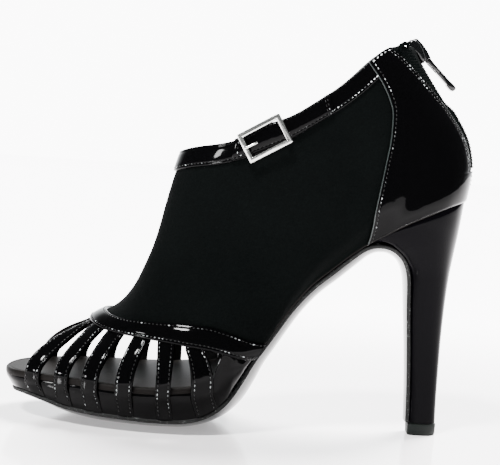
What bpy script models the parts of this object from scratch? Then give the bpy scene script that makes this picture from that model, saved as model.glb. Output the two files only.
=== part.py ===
"""Peep-toe platform court shoe with a caged vamp: the left shoe, standing on its sole.

X runs from the toe (-) to the heel (+), the outer side is -Y and the floor is Z = 0.
The tables give points of the last in millimetres for the sizes below; KX, KY and KZ carry
them to other sizes.
"""

import math

import bpy
import numpy as np

LAST_LENGTH = 0.2112      # toe tip to the back of the counter
BALL_WIDTH = 0.0838       # over the straps at the ball
COLLAR_HEIGHT = 0.180     # floor to the top of the collar at the zip

WALL = 0.0016             # leather of the upper
PANEL_SLACK = 0.0009      # the closed panel and last strap stand this much further out
OVERLAY = 0.0009          # patent leather laid over the upper
FIT = 0.00035             # glued or sewn faces stand this far apart
OUTSOLE_WALL = 0.0022
FLAP_WALL = 0.0012        # outsole where it runs down the heel breast
FOOTBED_WALL = 0.0035
BOARD_WALL = 0.0026       # insole in the waist and seat
LIFT_HEIGHT = 0.0055
RIM_OVERHANG = 0.0010     # footbed beyond the platform
COLLAR_BAND = 0.0096
ZIP_SLOT = 0.0042         # half the opening over the zip
TAPE_HALF = 0.0076
TAPE_WALL = 0.0007
TEETH_HALF = 0.0020
BUCKLE_LENGTH = 0.0214
BUCKLE_WIDTH = 0.0144
BUCKLE_BAR = 0.0022
BUCKLE_WALL = 0.0016

KX = LAST_LENGTH / 211.2
KY = BALL_WIDTH / 83.8
KZ = COLLAR_HEIGHT / 180.0

# Upper face of the outsole at its edge: x, z, half width outer, half width inner, crown
OUTSOLE = [
    (-102.3, 11.8, 2.6, 2.6, 0.6), (-101.6, 12.0, 7.0, 7.4, 0.8), (-99.5, 12.4, 12.2, 13.0, 1.2),
    (-95.5, 12.5, 17.2, 19.0, 2.0), (-90.9, 11.9, 20.8, 23.0, 2.8), (-82.6, 10.6, 25.6, 27.6, 4.0),
    (-74.7, 8.9, 29.2, 31.0, 5.2), (-66.1, 8.0, 32.7, 34.0, 6.2), (-56.8, 7.5, 35.6, 35.8, 6.8),
    (-44.1, 7.1, 38.2, 37.8, 6.8), (-33.4, 6.8, 39.2, 38.9, 6.6), (-23.2, 6.9, 39.0, 38.8, 6.4),
    (-14.5, 8.2, 37.8, 37.6, 6.2), (-7.5, 11.2, 36.2, 35.9, 6.2), (-1.8, 16.0, 34.0, 33.8, 6.4),
    (4.1, 25.0, 30.6, 30.4, 5.8), (8.5, 33.0, 27.8, 27.6, 5.2), (14.0, 41.0, 25.2, 25.0, 4.8),
    (19.5, 49.4, 23.3, 23.1, 4.5), (25.5, 58.2, 21.7, 21.5, 4.3), (34.2, 68.3, 20.5, 20.3, 4.3),
    (43.0, 76.0, 20.4, 20.3, 4.4), (51.0, 83.2, 21.4, 21.3, 4.4), (57.0, 87.8, 22.2, 22.1, 4.0),
    (62.5, 89.4, 21.6, 21.6, 3.2), (67.5, 88.9, 20.0, 20.0, 2.4), (73.2, 86.0, 17.2, 17.2, 1.6),
    (77.2, 81.2, 14.4, 14.4, 1.0), (79.5, 73.8, 11.6, 11.6, 0.7), (80.7, 59.2, 8.9, 8.9, 0.4),
    (82.3, 40.4, 7.1, 7.1, 0.3), (83.8, 16.7, 5.9, 5.9, 0.2), (84.2, 6.2, 5.5, 5.5, 0.2)]
BREAST_ROW, FLAP_ROW = 24, 27

# Upper face of the footbed and insole: x, z, half width outer, half width inner
INSOLE = [
    (-105.6, 20.8, 2.6, 2.6), (-104.9, 20.9, 7.6, 7.9), (-102.8, 21.0, 12.8, 13.6),
    (-98.9, 21.1, 17.6, 19.2), (-94.0, 21.2, 20.7, 23.0), (-85.6, 21.3, 25.0, 27.0),
    (-78.0, 21.3, 28.3, 30.2), (-70.6, 21.3, 31.4, 33.3), (-62.0, 21.0, 34.6, 35.6),
    (-53.0, 20.7, 37.2, 37.2), (-44.0, 20.6, 39.0, 38.8), (-35.0, 20.7, 39.8, 39.8),
    (-27.0, 21.3, 40.0, 40.0), (-18.0, 22.2, 39.0, 39.0), (-9.0, 23.6, 36.4, 36.3),
    (-3.0, 25.8, 32.6, 32.5), (3.0, 31.4, 28.0, 28.0), (8.0, 38.0, 24.8, 24.8),
    (12.0, 43.6, 23.8, 23.8), (17.5, 51.8, 21.5, 21.5), (24.0, 61.4, 19.5, 19.5),
    (32.5, 71.6, 18.2, 18.2), (41.5, 79.6, 18.0, 18.0), (50.0, 86.9, 19.0, 19.0),
    (57.0, 92.2, 20.4, 20.4), (64.0, 96.4, 21.6, 21.6), (71.0, 100.6, 22.1, 22.1),
    (78.0, 104.2, 21.8, 21.8), (85.0, 107.4, 20.3, 20.3), (90.5, 109.9, 17.2, 17.2),
    (94.8, 111.6, 12.8, 12.8), (97.4, 112.5, 8.4, 8.4), (98.7, 112.9, 3.6, 3.6)]

# Foot of the shaft, from the vamp band round the seat: x, z, half width
BASE = [
    (-60.0, 49.4, 0.0), (-59.6, 49.3, 4.6), (-58.8, 49.0, 9.0), (-57.0, 48.6, 14.0), (-53.0, 48.3, 19.8),
    (-47.0, 48.0, 24.6), (-37.0, 48.1, 29.4), (-25.0, 48.7, 33.4), (-13.0, 48.6, 35.2),
    (-3.0, 46.5, 34.8), (3.5, 44.2, 33.0), (9.0, 42.4, 30.2), (14.2, 41.6, 27.2), (19.2, 49.8, 24.6),
    (25.0, 58.6, 22.6), (33.5, 69.0, 21.2), (42.6, 77.0, 21.0), (50.6, 84.1, 22.0), (57.0, 89.0, 23.3),
    (64.0, 93.4, 24.5), (71.0, 97.7, 25.0), (78.0, 101.4, 24.8), (85.0, 104.7, 23.5), (91.0, 107.2, 20.9),
    (95.2, 108.8, 17.1), (98.8, 109.9, 12.5), (101.4, 110.5, 7.0), (102.6, 110.7, 0.0)]
COLLAR = [
    (-29.4, 125.4), (-27.0, 126.6), (-18.0, 128.8), (-10.7, 130.1), (-3.6, 132.3), (8.6, 137.2), (20.5, 144.5),
    (30.7, 151.8), (40.9, 159.4), (47.8, 165.5), (52.0, 170.0), (56.0, 174.2), (61.5, 178.3),
    (68.0, 179.4), (75.4, 180.0)]
# Front ridge and back of the shaft: share of the height, x, z
RIDGE = [
    (0.00, -60.0, 49.4), (0.09, -53.5, 54.1), (0.21, -47.4, 62.9), (0.32, -43.7, 71.7), (0.42, -40.5, 80.3),
    (0.52, -38.2, 88.9), (0.63, -36.4, 97.5), (0.74, -34.5, 106.0), (0.88, -32.0, 115.9), (1.00, -29.4, 125.4)]
BACK = [
    (0.00, 102.6, 110.7), (0.09, 103.7, 117.5), (0.18, 104.3, 124.4), (0.25, 103.7, 129.7), (0.31, 102.8, 134.2),
    (0.39, 100.8, 139.7), (0.47, 97.9, 144.9), (0.55, 94.4, 150.1), (0.63, 91.0, 155.4), (0.71, 87.1, 160.9),
    (0.80, 83.1, 166.6), (0.91, 78.4, 173.8), (1.00, 75.4, 180.0)]
ZIP_FOOT = 0.18
HEIGHTS = [0.0, 0.05, 0.11, ZIP_FOOT, ZIP_FOOT + 0.03, 0.29, 0.38, 0.47, 0.57, 0.67, 0.77, 0.88, 1.0]
# Half widths of the leg: share of the height, front, middle, back
GIRTH = [(0.0, 31.0, 28.0, 28.0), (0.35, 28.0, 29.5, 30.0), (0.7, 24.0, 28.5, 26.0), (1.0, 21.5, 27.0, 21.0)]
# Front edge of the heel counter: x, z
COUNTER = [(57.5, 88.0), (58.5, 98.2), (60.5, 111.9), (62.6, 125.4), (64.4, 138.8), (64.5, 147.7),
           (62.2, 155.1), (57.9, 162.9), (52.0, 170.3), (48.0, 176.0)]

# Lower edge of the vamp band: x, z, half width
BAND = [
    (-67.4, 45.2, 0.0), (-67.1, 45.0, 4.6), (-66.2, 44.6, 9.2), (-64.0, 43.8, 13.6), (-60.3, 42.8, 18.2),
    (-57.7, 42.4, 20.8), (-50.2, 41.8, 26.4), (-45.1, 41.6, 29.4), (-38.3, 41.3, 32.6), (-33.6, 41.0, 34.6),
    (-25.8, 40.4, 37.0), (-21.0, 39.9, 38.2), (-12.4, 39.1, 39.0), (-4.0, 37.4, 38.4), (1.5, 35.9, 36.2),
    (6.0, 34.9, 32.8), (9.4, 34.9, 29.6)]
# Edges of the straps: x at the outsole, at the footbed, under the band, on the band's top, rise
EDGES = [
    (-92.3, -93.7, -67.1, -59.6, 0.50), (-83.1, -86.6, -66.2, -58.9, 0.24),
    (-78.6, -79.5, -65.2, -57.9, 0.40), (-70.0, -72.9, -60.3, -54.5, 0.30),
    (-64.7, -66.6, -57.7, -52.0, 0.38), (-56.0, -58.9, -50.2, -46.0, 0.38),
    (-49.2, -51.0, -45.1, -41.5, 0.40), (-41.9, -43.0, -38.3, -35.5, 0.40),
    (-31.7, -32.8, -33.6, -31.0, 0.40), (-24.4, -25.9, -25.8, -24.0, 0.40),
    (-14.2, -17.0, -21.0, -19.5, 0.40), (-5.0, -7.2, -12.4, -11.0, 0.40),
    (-5.0, -7.2, -4.0, -3.0, 0.40), (-0.4, 0.5, 1.5, 3.5, 0.0), (4.4, 5.5, 6.0, 9.0, 0.0),
    (9.4, 9.4, 9.4, 14.2, 0.0)]
PANEL = 12                # first edge of the closed panel behind the straps

# Heel: front x, front z, back x, back z, half width
HEEL = [
    (84.6, 5.9, 97.0, 5.9, 5.6), (84.3, 17.0, 96.8, 17.0, 6.0), (82.8, 40.5, 96.9, 40.2, 7.2),
    (81.2, 59.4, 97.4, 57.0, 9.0), (80.0, 74.2, 98.6, 75.0, 12.0), (77.7, 81.9, 99.8, 84.4, 15.8),
    (73.5, 86.7, 101.0, 92.5, 19.2), (67.6, 89.5, 102.2, 100.0, 22.2), (57.8, 89.0, 103.6, 110.0, 24.6)]
# Plan of a heel section: share of its length, share of its half width
HEEL_PLAN = [(0.0, 0.0), (0.0, 0.5), (0.01, 0.84), (0.06, 0.94), (0.22, 1.0), (0.42, 0.99), (0.6, 0.93),
             (0.76, 0.79), (0.88, 0.58), (0.96, 0.33), (1.0, 0.0)]

BUCKLE_AT = (9.0, 133.4)  # middle of the buckle: x, z
BUCKLE_TILT = math.radians(30.0)
STRAP_END = (-5.5, 37.0)  # x of the buckle strap's ends
SLIDER_AT = 0.965         # share of the shaft's height
PULL_PIN = (81.5, 174.3)  # hinge of the pull tab: x, z
PULL_LENGTH = 0.0165
PULL_FALL = math.radians(41.0)


def smooth(rows, x, column=1, key=0):
    """Monotone cubic through the table's rows: the column's value where the key column is x."""
    xs = np.array([row[key] for row in rows], float)
    ys = np.array([row[column] for row in rows], float)
    step, rise = np.diff(xs), np.diff(ys)
    slope = rise / step
    inner = np.where(slope[:-1] * slope[1:] > 0,
                     2 * slope[:-1] * slope[1:] / np.where(slope[:-1] + slope[1:] == 0, 1, slope[:-1] + slope[1:]), 0)
    ends = np.concatenate([[slope[0]], inner, [slope[-1]]])
    x = float(np.clip(x, xs[0], xs[-1]))
    i = int(np.clip(np.searchsorted(xs, x) - 1, 0, len(step) - 1))
    t = (x - xs[i]) / step[i]
    return float((1 + 2 * t) * (1 - t) ** 2 * ys[i] + t * (1 - t) ** 2 * step[i] * ends[i]
                 + t * t * (3 - 2 * t) * ys[i + 1] + t * t * (t - 1) * step[i] * ends[i + 1])


def ease(t):
    t = min(max(t, 0.0), 1.0)
    return t * t * (3 - 2 * t)


def shaft(f, v, side):
    """Outer skin of the shaft. f runs from the front ridge to the back, v from foot to collar."""
    xb = BASE[0][0] + f * (BASE[-1][0] - BASE[0][0])
    xc = COLLAR[0][0] + f * (COLLAR[-1][0] - COLLAR[0][0])
    low = np.array([xb, smooth(BASE, xb)])
    high = np.array([xc, smooth(COLLAR, xc)])
    here = (1 - v) * low + v * high
    for share, edge in ((1 - f, RIDGE), (f, BACK)):
        first, last = np.array(edge[0][1:]), np.array(edge[-1][1:])
        on_edge = np.array([smooth(edge, v, 1), smooth(edge, v, 2)])
        here = here + share * (on_edge - (1 - v) * first - v * last)
    wide = [smooth(GIRTH, v, column) for column in (1, 2, 3)]
    across = wide[0] * (1 - f) * (1 - 2 * f) + 4 * wide[1] * f * (1 - f) + wide[2] * f * (2 * f - 1)
    leg = across * max(4 * f * (1 - f), 0.0) ** 0.46
    near = ease(v / 0.4)
    half = (1 - near) * smooth(BASE, xb, 2) + near * leg
    return np.array([here[0] * KX, side * half * KY, here[1] * KZ])


def outward(f, v, side):
    """Normal of the shaft's skin, away from the foot."""
    f0, f1, v0, v1 = max(f - 0.004, 0.002), min(f + 0.004, 0.998), max(v - 0.01, 0.0), min(v + 0.01, 1.0)
    along = shaft(f1, v, side) - shaft(f0, v, side)
    up = shaft(f, v1, side) - shaft(f, v0, side)
    normal = np.cross(along, up) * (-side)
    if f <= 0.002 or f >= 0.998:
        normal[1] = 0.0
    return normal / np.linalg.norm(normal)


def slot_share(v, half, side=-1):
    """The f at which the skin is the given half width from the back seam."""
    low, high = 0.9, 1.0
    for _ in range(30):
        middle = (low + high) / 2
        low, high = (middle, high) if abs(shaft(middle, v, side)[1]) > half else (low, middle)
    return (low + high) / 2


def share_at(v, x_of_z):
    """The f at which the skin crosses a line given in side view as x(z)."""
    low, high = 0.0, 1.0
    for _ in range(30):
        middle = (low + high) / 2
        here = shaft(middle, v, -1)
        low, high = (middle, high) if here[0] / KX < x_of_z(here[2] / KZ) else (low, middle)
    return (low + high) / 2


def counter_line(z):
    return smooth(COUNTER, z, 0, 1)


def band_foot(f):
    """The v of the collar band's lower edge."""
    low, high = shaft(f, 0.8, -1), shaft(f, 1.0, -1)
    return 1 - 0.2 * COLLAR_BAND / np.linalg.norm(high - low)


def foot_half(rows, x, side, column=2):
    return smooth(rows, x, column if side < 0 else column + 1)


def make(name, points, faces, colour, rough, metal=0.0, coat=0.0):
    """A closed mesh object with its own material; its faces are turned outward."""
    mesh = bpy.data.meshes.new(name)
    mesh.from_pydata([tuple(p) for p in points], [], [tuple(f) for f in faces])
    mesh.validate()
    thing = bpy.data.objects.new(name, mesh)
    bpy.context.collection.objects.link(thing)
    corners = np.array([list(v.co) for v in mesh.vertices])
    mesh.calc_loop_triangles()
    volume = sum(np.linalg.det(corners[list(t.vertices)]) for t in mesh.loop_triangles)
    if volume < 0:
        mesh.flip_normals()
    material = bpy.data.materials.new(name)
    material.use_nodes = True
    shader = material.node_tree.nodes["Principled BSDF"]
    shader.inputs["Base Color"].default_value = (*colour, 1.0)
    shader.inputs["Roughness"].default_value = rough
    shader.inputs["Metallic"].default_value = metal
    shader.inputs["Coat Weight"].default_value = coat
    mesh.materials.append(material)
    return thing


def vertex_normals(points, faces):
    normals = np.zeros_like(points)
    for face in faces:
        ring = points[list(face)]
        area = sum(np.cross(ring[i] - ring[0], ring[i + 1] - ring[0]) for i in range(1, len(face) - 1))
        for index in face:
            normals[index] += area
    return normals / np.maximum(np.linalg.norm(normals, axis=1), 1e-12)[:, None]


def thicken(points, faces, normals, inner, outer):
    """Closes an open sheet into a solid between two offsets along its normals."""
    points, count = np.array(points), len(points)
    skin = np.concatenate([points + normals * outer, points + normals * inner])
    solid = [tuple(f) for f in faces] + [tuple(count + i for i in reversed(f)) for f in faces]
    directed = {(f[i], f[(i + 1) % len(f)]) for f in faces for i in range(len(f))}
    for a, b in directed:
        if (b, a) not in directed:
            solid.append((b, a, count + a, count + b))
    return skin, solid


class Sheet:
    """Points by key, so that neighbouring patches share them, and the faces between them."""

    def __init__(self):
        self.index, self.points, self.normals, self.faces = {}, [], [], []

    def add(self, key, point, normal=(0, 0, 0)):
        if key not in self.index:
            self.index[key] = len(self.points)
            self.points.append(np.array(point, float))
            self.normals.append(np.array(normal, float))
        return key

    def face(self, *keys, side=-1):
        ring = []
        for key in keys:
            if self.index[key] not in ring:
                ring.append(self.index[key])
        for i in range(1, len(ring) - 1):
            corner = (ring[0], ring[i], ring[i + 1])
            self.faces.append(corner if side < 0 else corner[::-1])

    def solid(self, inner, outer, analytic=False):
        points = np.array(self.points)
        normals = np.array(self.normals) if analytic else vertex_normals(points, self.faces)
        return thicken(points, self.faces, normals, inner, outer)


def band_point(edge, row, side):
    """Point of the vamp band's underlay: row 0 is its lower edge, 1 and 2 its middle and top."""
    low_x, top_x = EDGES[edge][2:4] if edge >= 0 else (BAND[0][0], BASE[0][0])
    low = np.array([low_x * KX, side * smooth(BAND, low_x, 2) * KY, smooth(BAND, low_x) * KZ])
    top = shaft((top_x - BASE[0][0]) / (BASE[-1][0] - BASE[0][0]), 0.0, side)
    swell = np.array([0.0, side * 0.25 * KY, 0.2 * KZ]) if row == 1 else 0.0
    return (low, (low + top) / 2 + swell, top)[row]


def strap_column(edge, side):
    """Points of a strap's edge, from the outsole up to the band."""
    sole_x, bed_x, low_x, _, rise = EDGES[edge]
    half = foot_half(INSOLE, bed_x, side) * KY + WALL + FIT + (PANEL_SLACK if edge > PANEL - 3 else 0.0)
    hem_z = smooth(OUTSOLE, sole_x) * KZ + FIT
    hem = np.array([sole_x * KX, side * (foot_half(OUTSOLE, sole_x, side) * KY + 0.5 * FIT), hem_z])
    top = band_point(edge, 0, side)
    if edge > PANEL:
        swell = np.array([0.0, side * 2 * PANEL_SLACK, 0.0])
        return [hem + (top - hem) * share + swell * math.sin(math.pi * share)
                for share in (0, 0.22, 0.42, 0.55, 0.7, 0.8, 0.9, 1.0)]
    bed_z = smooth(INSOLE, bed_x) * KZ
    bed = np.array([bed_x * KX, side * half, bed_z + 0.0004])
    rim = np.array([bed_x * KX, side * half, bed_z - FOOTBED_WALL - 0.0002])
    middle = np.array([(0.5 * sole_x + 0.5 * bed_x) * KX, side * (half - 0.0011), (hem_z + rim[2]) / 2])
    rise_to = bed + np.array([0, 0, rise * (top[2] - bed[2])])
    bends = [(1 - t) ** 2 * bed + 2 * t * (1 - t) * rise_to + t * t * top for t in (0.25, 0.5, 0.75)]
    return [hem, middle, rim, bed] + bends + [top]


def build_upper():
    """Cage straps, band underlay and shaft as one open sheet, then one hollow solid."""
    sheet = Sheet()
    last = len(EDGES) - 1
    shares = [(row[3] - BASE[0][0]) / (BASE[-1][0] - BASE[0][0]) for row in EDGES]
    shares = [0.0] + shares + [(row[0] - BASE[0][0]) / (BASE[-1][0] - BASE[0][0]) for row in BASE[13:]]
    heights = HEIGHTS

    def cage_key(edge, row, side):
        if row < 4 and edge == PANEL:
            edge = PANEL - 1
        if edge == last and row < 8:
            row = 7
        return ("cage", edge, row, side if edge >= 0 else 0)

    def leg_key(column, row, side):
        if row == 0 and column <= last + 1:
            return cage_key(column - 1, 9, side)
        centre = column == 0 or (column == len(shares) - 1 and heights[row] <= ZIP_FOOT)
        return ("leg", column, row, 0 if centre else side)

    for side in (-1, 1):
        for edge in range(-1, last + 1):
            if edge >= 0:
                for row, point in enumerate(strap_column(edge, side)):
                    sheet.add(cage_key(edge, row, side), point)
            for row in range(3):
                sheet.add(cage_key(edge, 7 + row, side), band_point(edge, row, side))
        for edge in range(-1, last):
            closed = edge >= PANEL or (edge >= 0 and edge % 2 == 0)
            for row in range(0 if closed else 7, 9):
                sheet.face(cage_key(edge, row, side), cage_key(edge + 1, row, side),
                           cage_key(edge + 1, row + 1, side), cage_key(edge, row + 1, side), side=side)
        for row, v in enumerate(heights):
            for column, f in enumerate(shares):
                if column == len(shares) - 1 and v > ZIP_FOOT:
                    f = slot_share(v, ZIP_SLOT)
                if leg_key(column, row, side) not in sheet.index:
                    sheet.add(leg_key(column, row, side), shaft(f, v, side))
        for row in range(len(heights) - 1):
            for column in range(len(shares) - 1):
                sheet.face(leg_key(column, row, side), leg_key(column + 1, row, side),
                           leg_key(column + 1, row + 1, side), leg_key(column, row + 1, side), side=side)
    points, faces = sheet.solid(-WALL, 0.0)
    make("upper", points, faces, (0.012, 0.012, 0.012), 0.9)

    band = Sheet()
    for side in (-1, 1):
        for edge in range(-1, last + 1):
            for row in range(3):
                key = cage_key(edge, 7 + row, side)
                normal = vertex_normals_of(sheet, key)
                band.add(key, sheet.points[sheet.index[key]], normal)
        for edge in range(-1, last):
            for row in (7, 8):
                band.face(cage_key(edge, row, side), cage_key(edge + 1, row, side),
                          cage_key(edge + 1, row + 1, side), cage_key(edge, row + 1, side), side=side)
    points, faces = band.solid(FIT + 0.0001, FIT + OVERLAY, analytic=True)
    make("vamp_band", points, faces, (0.01, 0.01, 0.011), 0.12, coat=0.5)


def vertex_normals_of(sheet, key):
    if not hasattr(sheet, "all_normals"):
        sheet.all_normals = vertex_normals(np.array(sheet.points), sheet.faces)
    return sheet.all_normals[sheet.index[key]]


def overlay(name, sides, rows, columns, inner, outer, colour=(0.01, 0.01, 0.011), rough=0.12):
    """A piece of leather laid on the shaft. rows are shares of its own height, and columns(t, side)
    gives the (f, v) points of that row; a point at the back seam is shared by both sides."""
    sheet = Sheet()
    for side in sides:
        grid = []
        for r, t in enumerate(rows):
            line = []
            for c, (f, v) in enumerate(columns(t)):
                centre = f <= 0.0 or f >= 1.0
                key = (r, c, 0 if centre else side)
                line.append(sheet.add(key, shaft(f, v, side), outward(f, v, side)))
            grid.append(line)
        for r in range(len(rows) - 1):
            for c in range(len(grid[0]) - 1):
                sheet.face(grid[r][c], grid[r][c + 1], grid[r + 1][c + 1], grid[r + 1][c], side=side)
    points, faces = sheet.solid(inner, outer, analytic=True)
    return make(name, points, faces, colour, rough, coat=0.5)


def build_overlays():
    def counter_row(v):
        first = share_at(v, counter_line)
        end = 1.0 if v <= ZIP_FOOT else slot_share(v, ZIP_SLOT)
        return [(end - (end - first) * (1 - t) ** 1.5, v) for t in np.linspace(0, 1, 11)]

    overlay("heel_counter", (-1, 1), HEIGHTS, counter_row, FIT + 0.0002, FIT + OVERLAY)

    collar_end = share_at(0.95, counter_line)
    shares = [0.0, 0.01, 0.03, 0.06, 0.1, 0.15, 0.2, 0.26, 0.32, 0.38, 0.44, 0.5, 0.56, 0.62, 0.67]

    def collar_row(t):
        line = []
        for f in shares + [None]:
            if f is None:
                v = band_foot(collar_end) + t * (1 - band_foot(collar_end))
                f = share_at(v, counter_line) - 0.006
            line.append((f, band_foot(f) + t * (1 - band_foot(f))))
        return line

    overlay("collar_band", (-1, 1), (0.0, 0.5, 1.0), collar_row, FIT, FIT + OVERLAY)

    def strap_row(t):
        line = []
        for share in np.linspace(0, 1, 9):
            want = STRAP_END[0] + share * (STRAP_END[1] - STRAP_END[0])
            f = share_at(0.95, lambda z: want)
            foot = band_foot(f)
            line.append((f, foot + (0.06 + 0.88 * t) * (1 - foot)))
        return line

    overlay("buckle_strap", (-1,), (0.0, 0.5, 1.0), strap_row, 2 * FIT + OVERLAY + 0.0001,
            2 * FIT + 2 * OVERLAY)


def sole_frame(i):
    """Side-view point and upward normal of the outsole's row i."""
    before, here, after = (
        np.array([row[0] * KX, heel_height(row[1]) if k >= BREAST_ROW else row[1] * KZ])
        for k, row in ((j, OUTSOLE[j]) for j in (max(i - 1, 0), i, min(i + 1, len(OUTSOLE) - 1))))
    along = (after - before) / np.linalg.norm(after - before)
    return here, np.array([-along[1], along[0]])


def sole_point(i, y, above):
    """Point of row i at width y: above = 0 is the outsole's lower face."""
    at, up = sole_frame(i)
    half = OUTSOLE[i][2 if y < 0 else 3] * KY
    wall = OUTSOLE_WALL if i < FLAP_ROW else FLAP_WALL
    drop = wall + OUTSOLE[i][4] * KZ * (1 - min(abs(y) / half, 1.0) ** 2.2)
    under = at - up * drop
    if i < 14:
        under[1] = max(under[1], 0.0)
    here = under + up * (above if above < 1 else wall + above - 1)
    return np.array([here[0], y, here[1]])


def slab(name, rows, colour, rough, coat=0.0):
    """A closed plate from rows of (lower points, upper points) across the shoe."""
    points, faces, count = [], [], len(rows[0][0])
    for low, high in rows:
        points += list(low) + list(high)
    for r in range(len(rows) - 1):
        a, b = r * 2 * count, (r + 1) * 2 * count
        for c in range(count - 1):
            faces.append((a + c, a + c + 1, b + c + 1, b + c))
            faces.append((a + count + c, b + count + c, b + count + c + 1, a + count + c + 1))
        for c in (0, count - 1):
            side = (a + c, b + c, b + count + c, a + count + c)
            faces.append(side if c == 0 else tuple(reversed(side)))
    for r in (0, len(rows) - 1):
        a = r * 2 * count
        cap = [(a + c, a + count + c, a + count + c + 1, a + c + 1) for c in range(count - 1)]
        faces += cap if r == 0 else [tuple(reversed(f)) for f in cap]
    return make(name, points, faces, colour, rough, coat=coat)


SPREAD = [-1.0, -0.9, -0.72, -0.52, -0.26, 0.0, 0.26, 0.52, 0.72, 0.9, 1.0]


def build_sole():
    rows = []
    for i, row in enumerate(OUTSOLE):
        ys = [s * row[2 if s < 0 else 3] * KY for s in SPREAD]
        rows.append(([sole_point(i, y, 0) for y in ys], [sole_point(i, y, 1) for y in ys]))
    slab("outsole", rows, (0.02, 0.018, 0.02), 0.25)

    rows = []
    for i in range(1, 15):
        x = OUTSOLE[i][0]
        inset = RIM_OVERHANG + WALL * ease((x + 100) / 8) * 0.3
        at, up = sole_frame(i)
        lows, highs = [], []
        for s in SPREAD:
            side = -1 if s < 0 else 1
            low_half = OUTSOLE[i][2 if s < 0 else 3] * KY - 0.0026
            low = sole_point(i, s * low_half, 1 + FIT)
            reach = 0.0
            for _ in range(40):
                point = low + reach * np.array([up[0], 0, up[1]])
                reach += 0.6 * (bed_underside(point[0]) - FIT - point[2])
            top_half = foot_half(INSOLE, point[0] / KX, side) * KY - inset
            highs.append(np.array([point[0], s * min(top_half, low_half + 0.0018), point[2]]))
            lows.append(low)
        rows.append((lows, highs))
    slab("platform", rows, (0.01, 0.01, 0.011), 0.14, coat=0.5)

    rows = []
    for i, row in enumerate(INSOLE):
        a, b = INSOLE[max(i - 1, 0)], INSOLE[min(i + 1, len(INSOLE) - 1)]
        along = np.array([(b[0] - a[0]) * KX, (b[1] - a[1]) * KZ])
        along /= np.linalg.norm(along)
        ys = [s * row[2 if s < 0 else 3] * KY for s in SPREAD]
        wall = insole_wall(row[0] * KX)
        high = [np.array([row[0] * KX, y, row[1] * KZ]) for y in ys]
        low = [p - wall * np.array([-along[1], 0, along[0]]) for p in high]
        rows.append((low, high))
    slab("insole", rows, (0.03, 0.03, 0.032), 0.5)


def bed_underside(x):
    """Height of the footbed's lower face over a point of the platform."""
    ahead, behind = smooth(INSOLE, x / KX + 2) * KZ, smooth(INSOLE, x / KX - 2) * KZ
    slope = (ahead - behind) / (4 * KX)
    return min(smooth(INSOLE, x / KX), (ahead + behind) / (2 * KZ)) * KZ - insole_wall(x) * math.hypot(1, slope)


def insole_wall(x):
    """Thickness of the footbed, thinner behind the waist."""
    share = ease((x / KX + 6) / 20)
    return FOOTBED_WALL * (1 - share) + BOARD_WALL * share


def heel_height(z):
    """Height of a point of the heel, whose foot stands on the top lift whatever the collar's height."""
    foot, top = HEEL[0][1], HEEL[-1][1]
    share = (z - foot) / (top - foot)
    return (1 - share) * (LIFT_HEIGHT + FIT) + share * top * KZ


def build_heel():
    rings, rear = [], HEEL[-1]
    for fx, fz, bx, bz, half in HEEL:
        ring = []
        for side in (-1, 1):
            plan = HEEL_PLAN if side < 0 else HEEL_PLAN[-2:0:-1]
            for share, wide in plan:
                x, z = fx + share * (bx - fx), heel_height(fz + share * (bz - fz))
                if (fx, bx) == (rear[0], rear[2]):
                    z = smooth(BASE, x) * KZ - 0.45 * KZ
                ring.append((x * KX, side * wide * half * KY, z))
        rings.append(ring)
    count, last = len(rings[0]), len(HEEL_PLAN) - 1
    points = [p for ring in rings for p in ring]
    faces = []
    for r in range(len(rings) - 1):
        for c in range(count):
            d = (c + 1) % count
            faces.append((r * count + c, r * count + d, (r + 1) * count + d, (r + 1) * count + c))
    for r in (0, len(rings) - 1):
        for c in range(last):
            cap = [c, c + 1, (count - c - 1) % count, (count - c) % count]
            cap = [r * count + i for i in dict.fromkeys(cap)]
            faces.append(tuple(cap) if r else tuple(reversed(cap)))
    make("heel", points, faces, (0.01, 0.01, 0.011), 0.12, coat=0.5)

    fx, _, bx, _, half = HEEL[0]
    points = []
    for z, grow in ((0.0, 0.1), (0.15, 0.35), (1.0, 0.35)):
        for side in (-1, 1):
            plan = HEEL_PLAN if side < 0 else HEEL_PLAN[-2:0:-1]
            for share, wide in plan:
                x = fx - 0.7 - grow + share * (bx - fx + 0.7 + 2 * grow)
                points.append((x * KX, side * wide * (half + grow) * KY, z * LIFT_HEIGHT))
    faces = []
    for r in range(2):
        for c in range(count):
            d = (c + 1) % count
            faces.append((r * count + c, r * count + d, (r + 1) * count + d, (r + 1) * count + c))
    faces.append(tuple(reversed(range(count))))
    faces.append(tuple(range(2 * count, 3 * count)))
    make("top_lift", points, faces, (0.03, 0.035, 0.032), 0.7)


def strip(name, rows, colour, rough, metal=0.0):
    """A closed bar from rings of equal length."""
    points = [p for row in rows for p in row]
    count, faces = len(rows[0]), []
    for r in range(len(rows) - 1):
        for c in range(count):
            d = (c + 1) % count
            faces.append((r * count + c, r * count + d, (r + 1) * count + d, (r + 1) * count + c))
    faces += [tuple(reversed(range(count))), tuple((len(rows) - 1) * count + c for c in range(count))]
    return make(name, points, faces, colour, rough, metal)


def back_frame(v):
    """Point, outward and upward directions of the back seam, all in the middle plane."""
    at = shaft(1.0, v, -1)
    at[1] = 0.0
    up = shaft(1.0, min(v + 0.01, 1.0), -1) - shaft(1.0, max(v - 0.01, 0.0), -1)
    up[1] = 0.0
    up /= np.linalg.norm(up)
    return at, np.array([up[2], 0.0, -up[0]]), up


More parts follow.
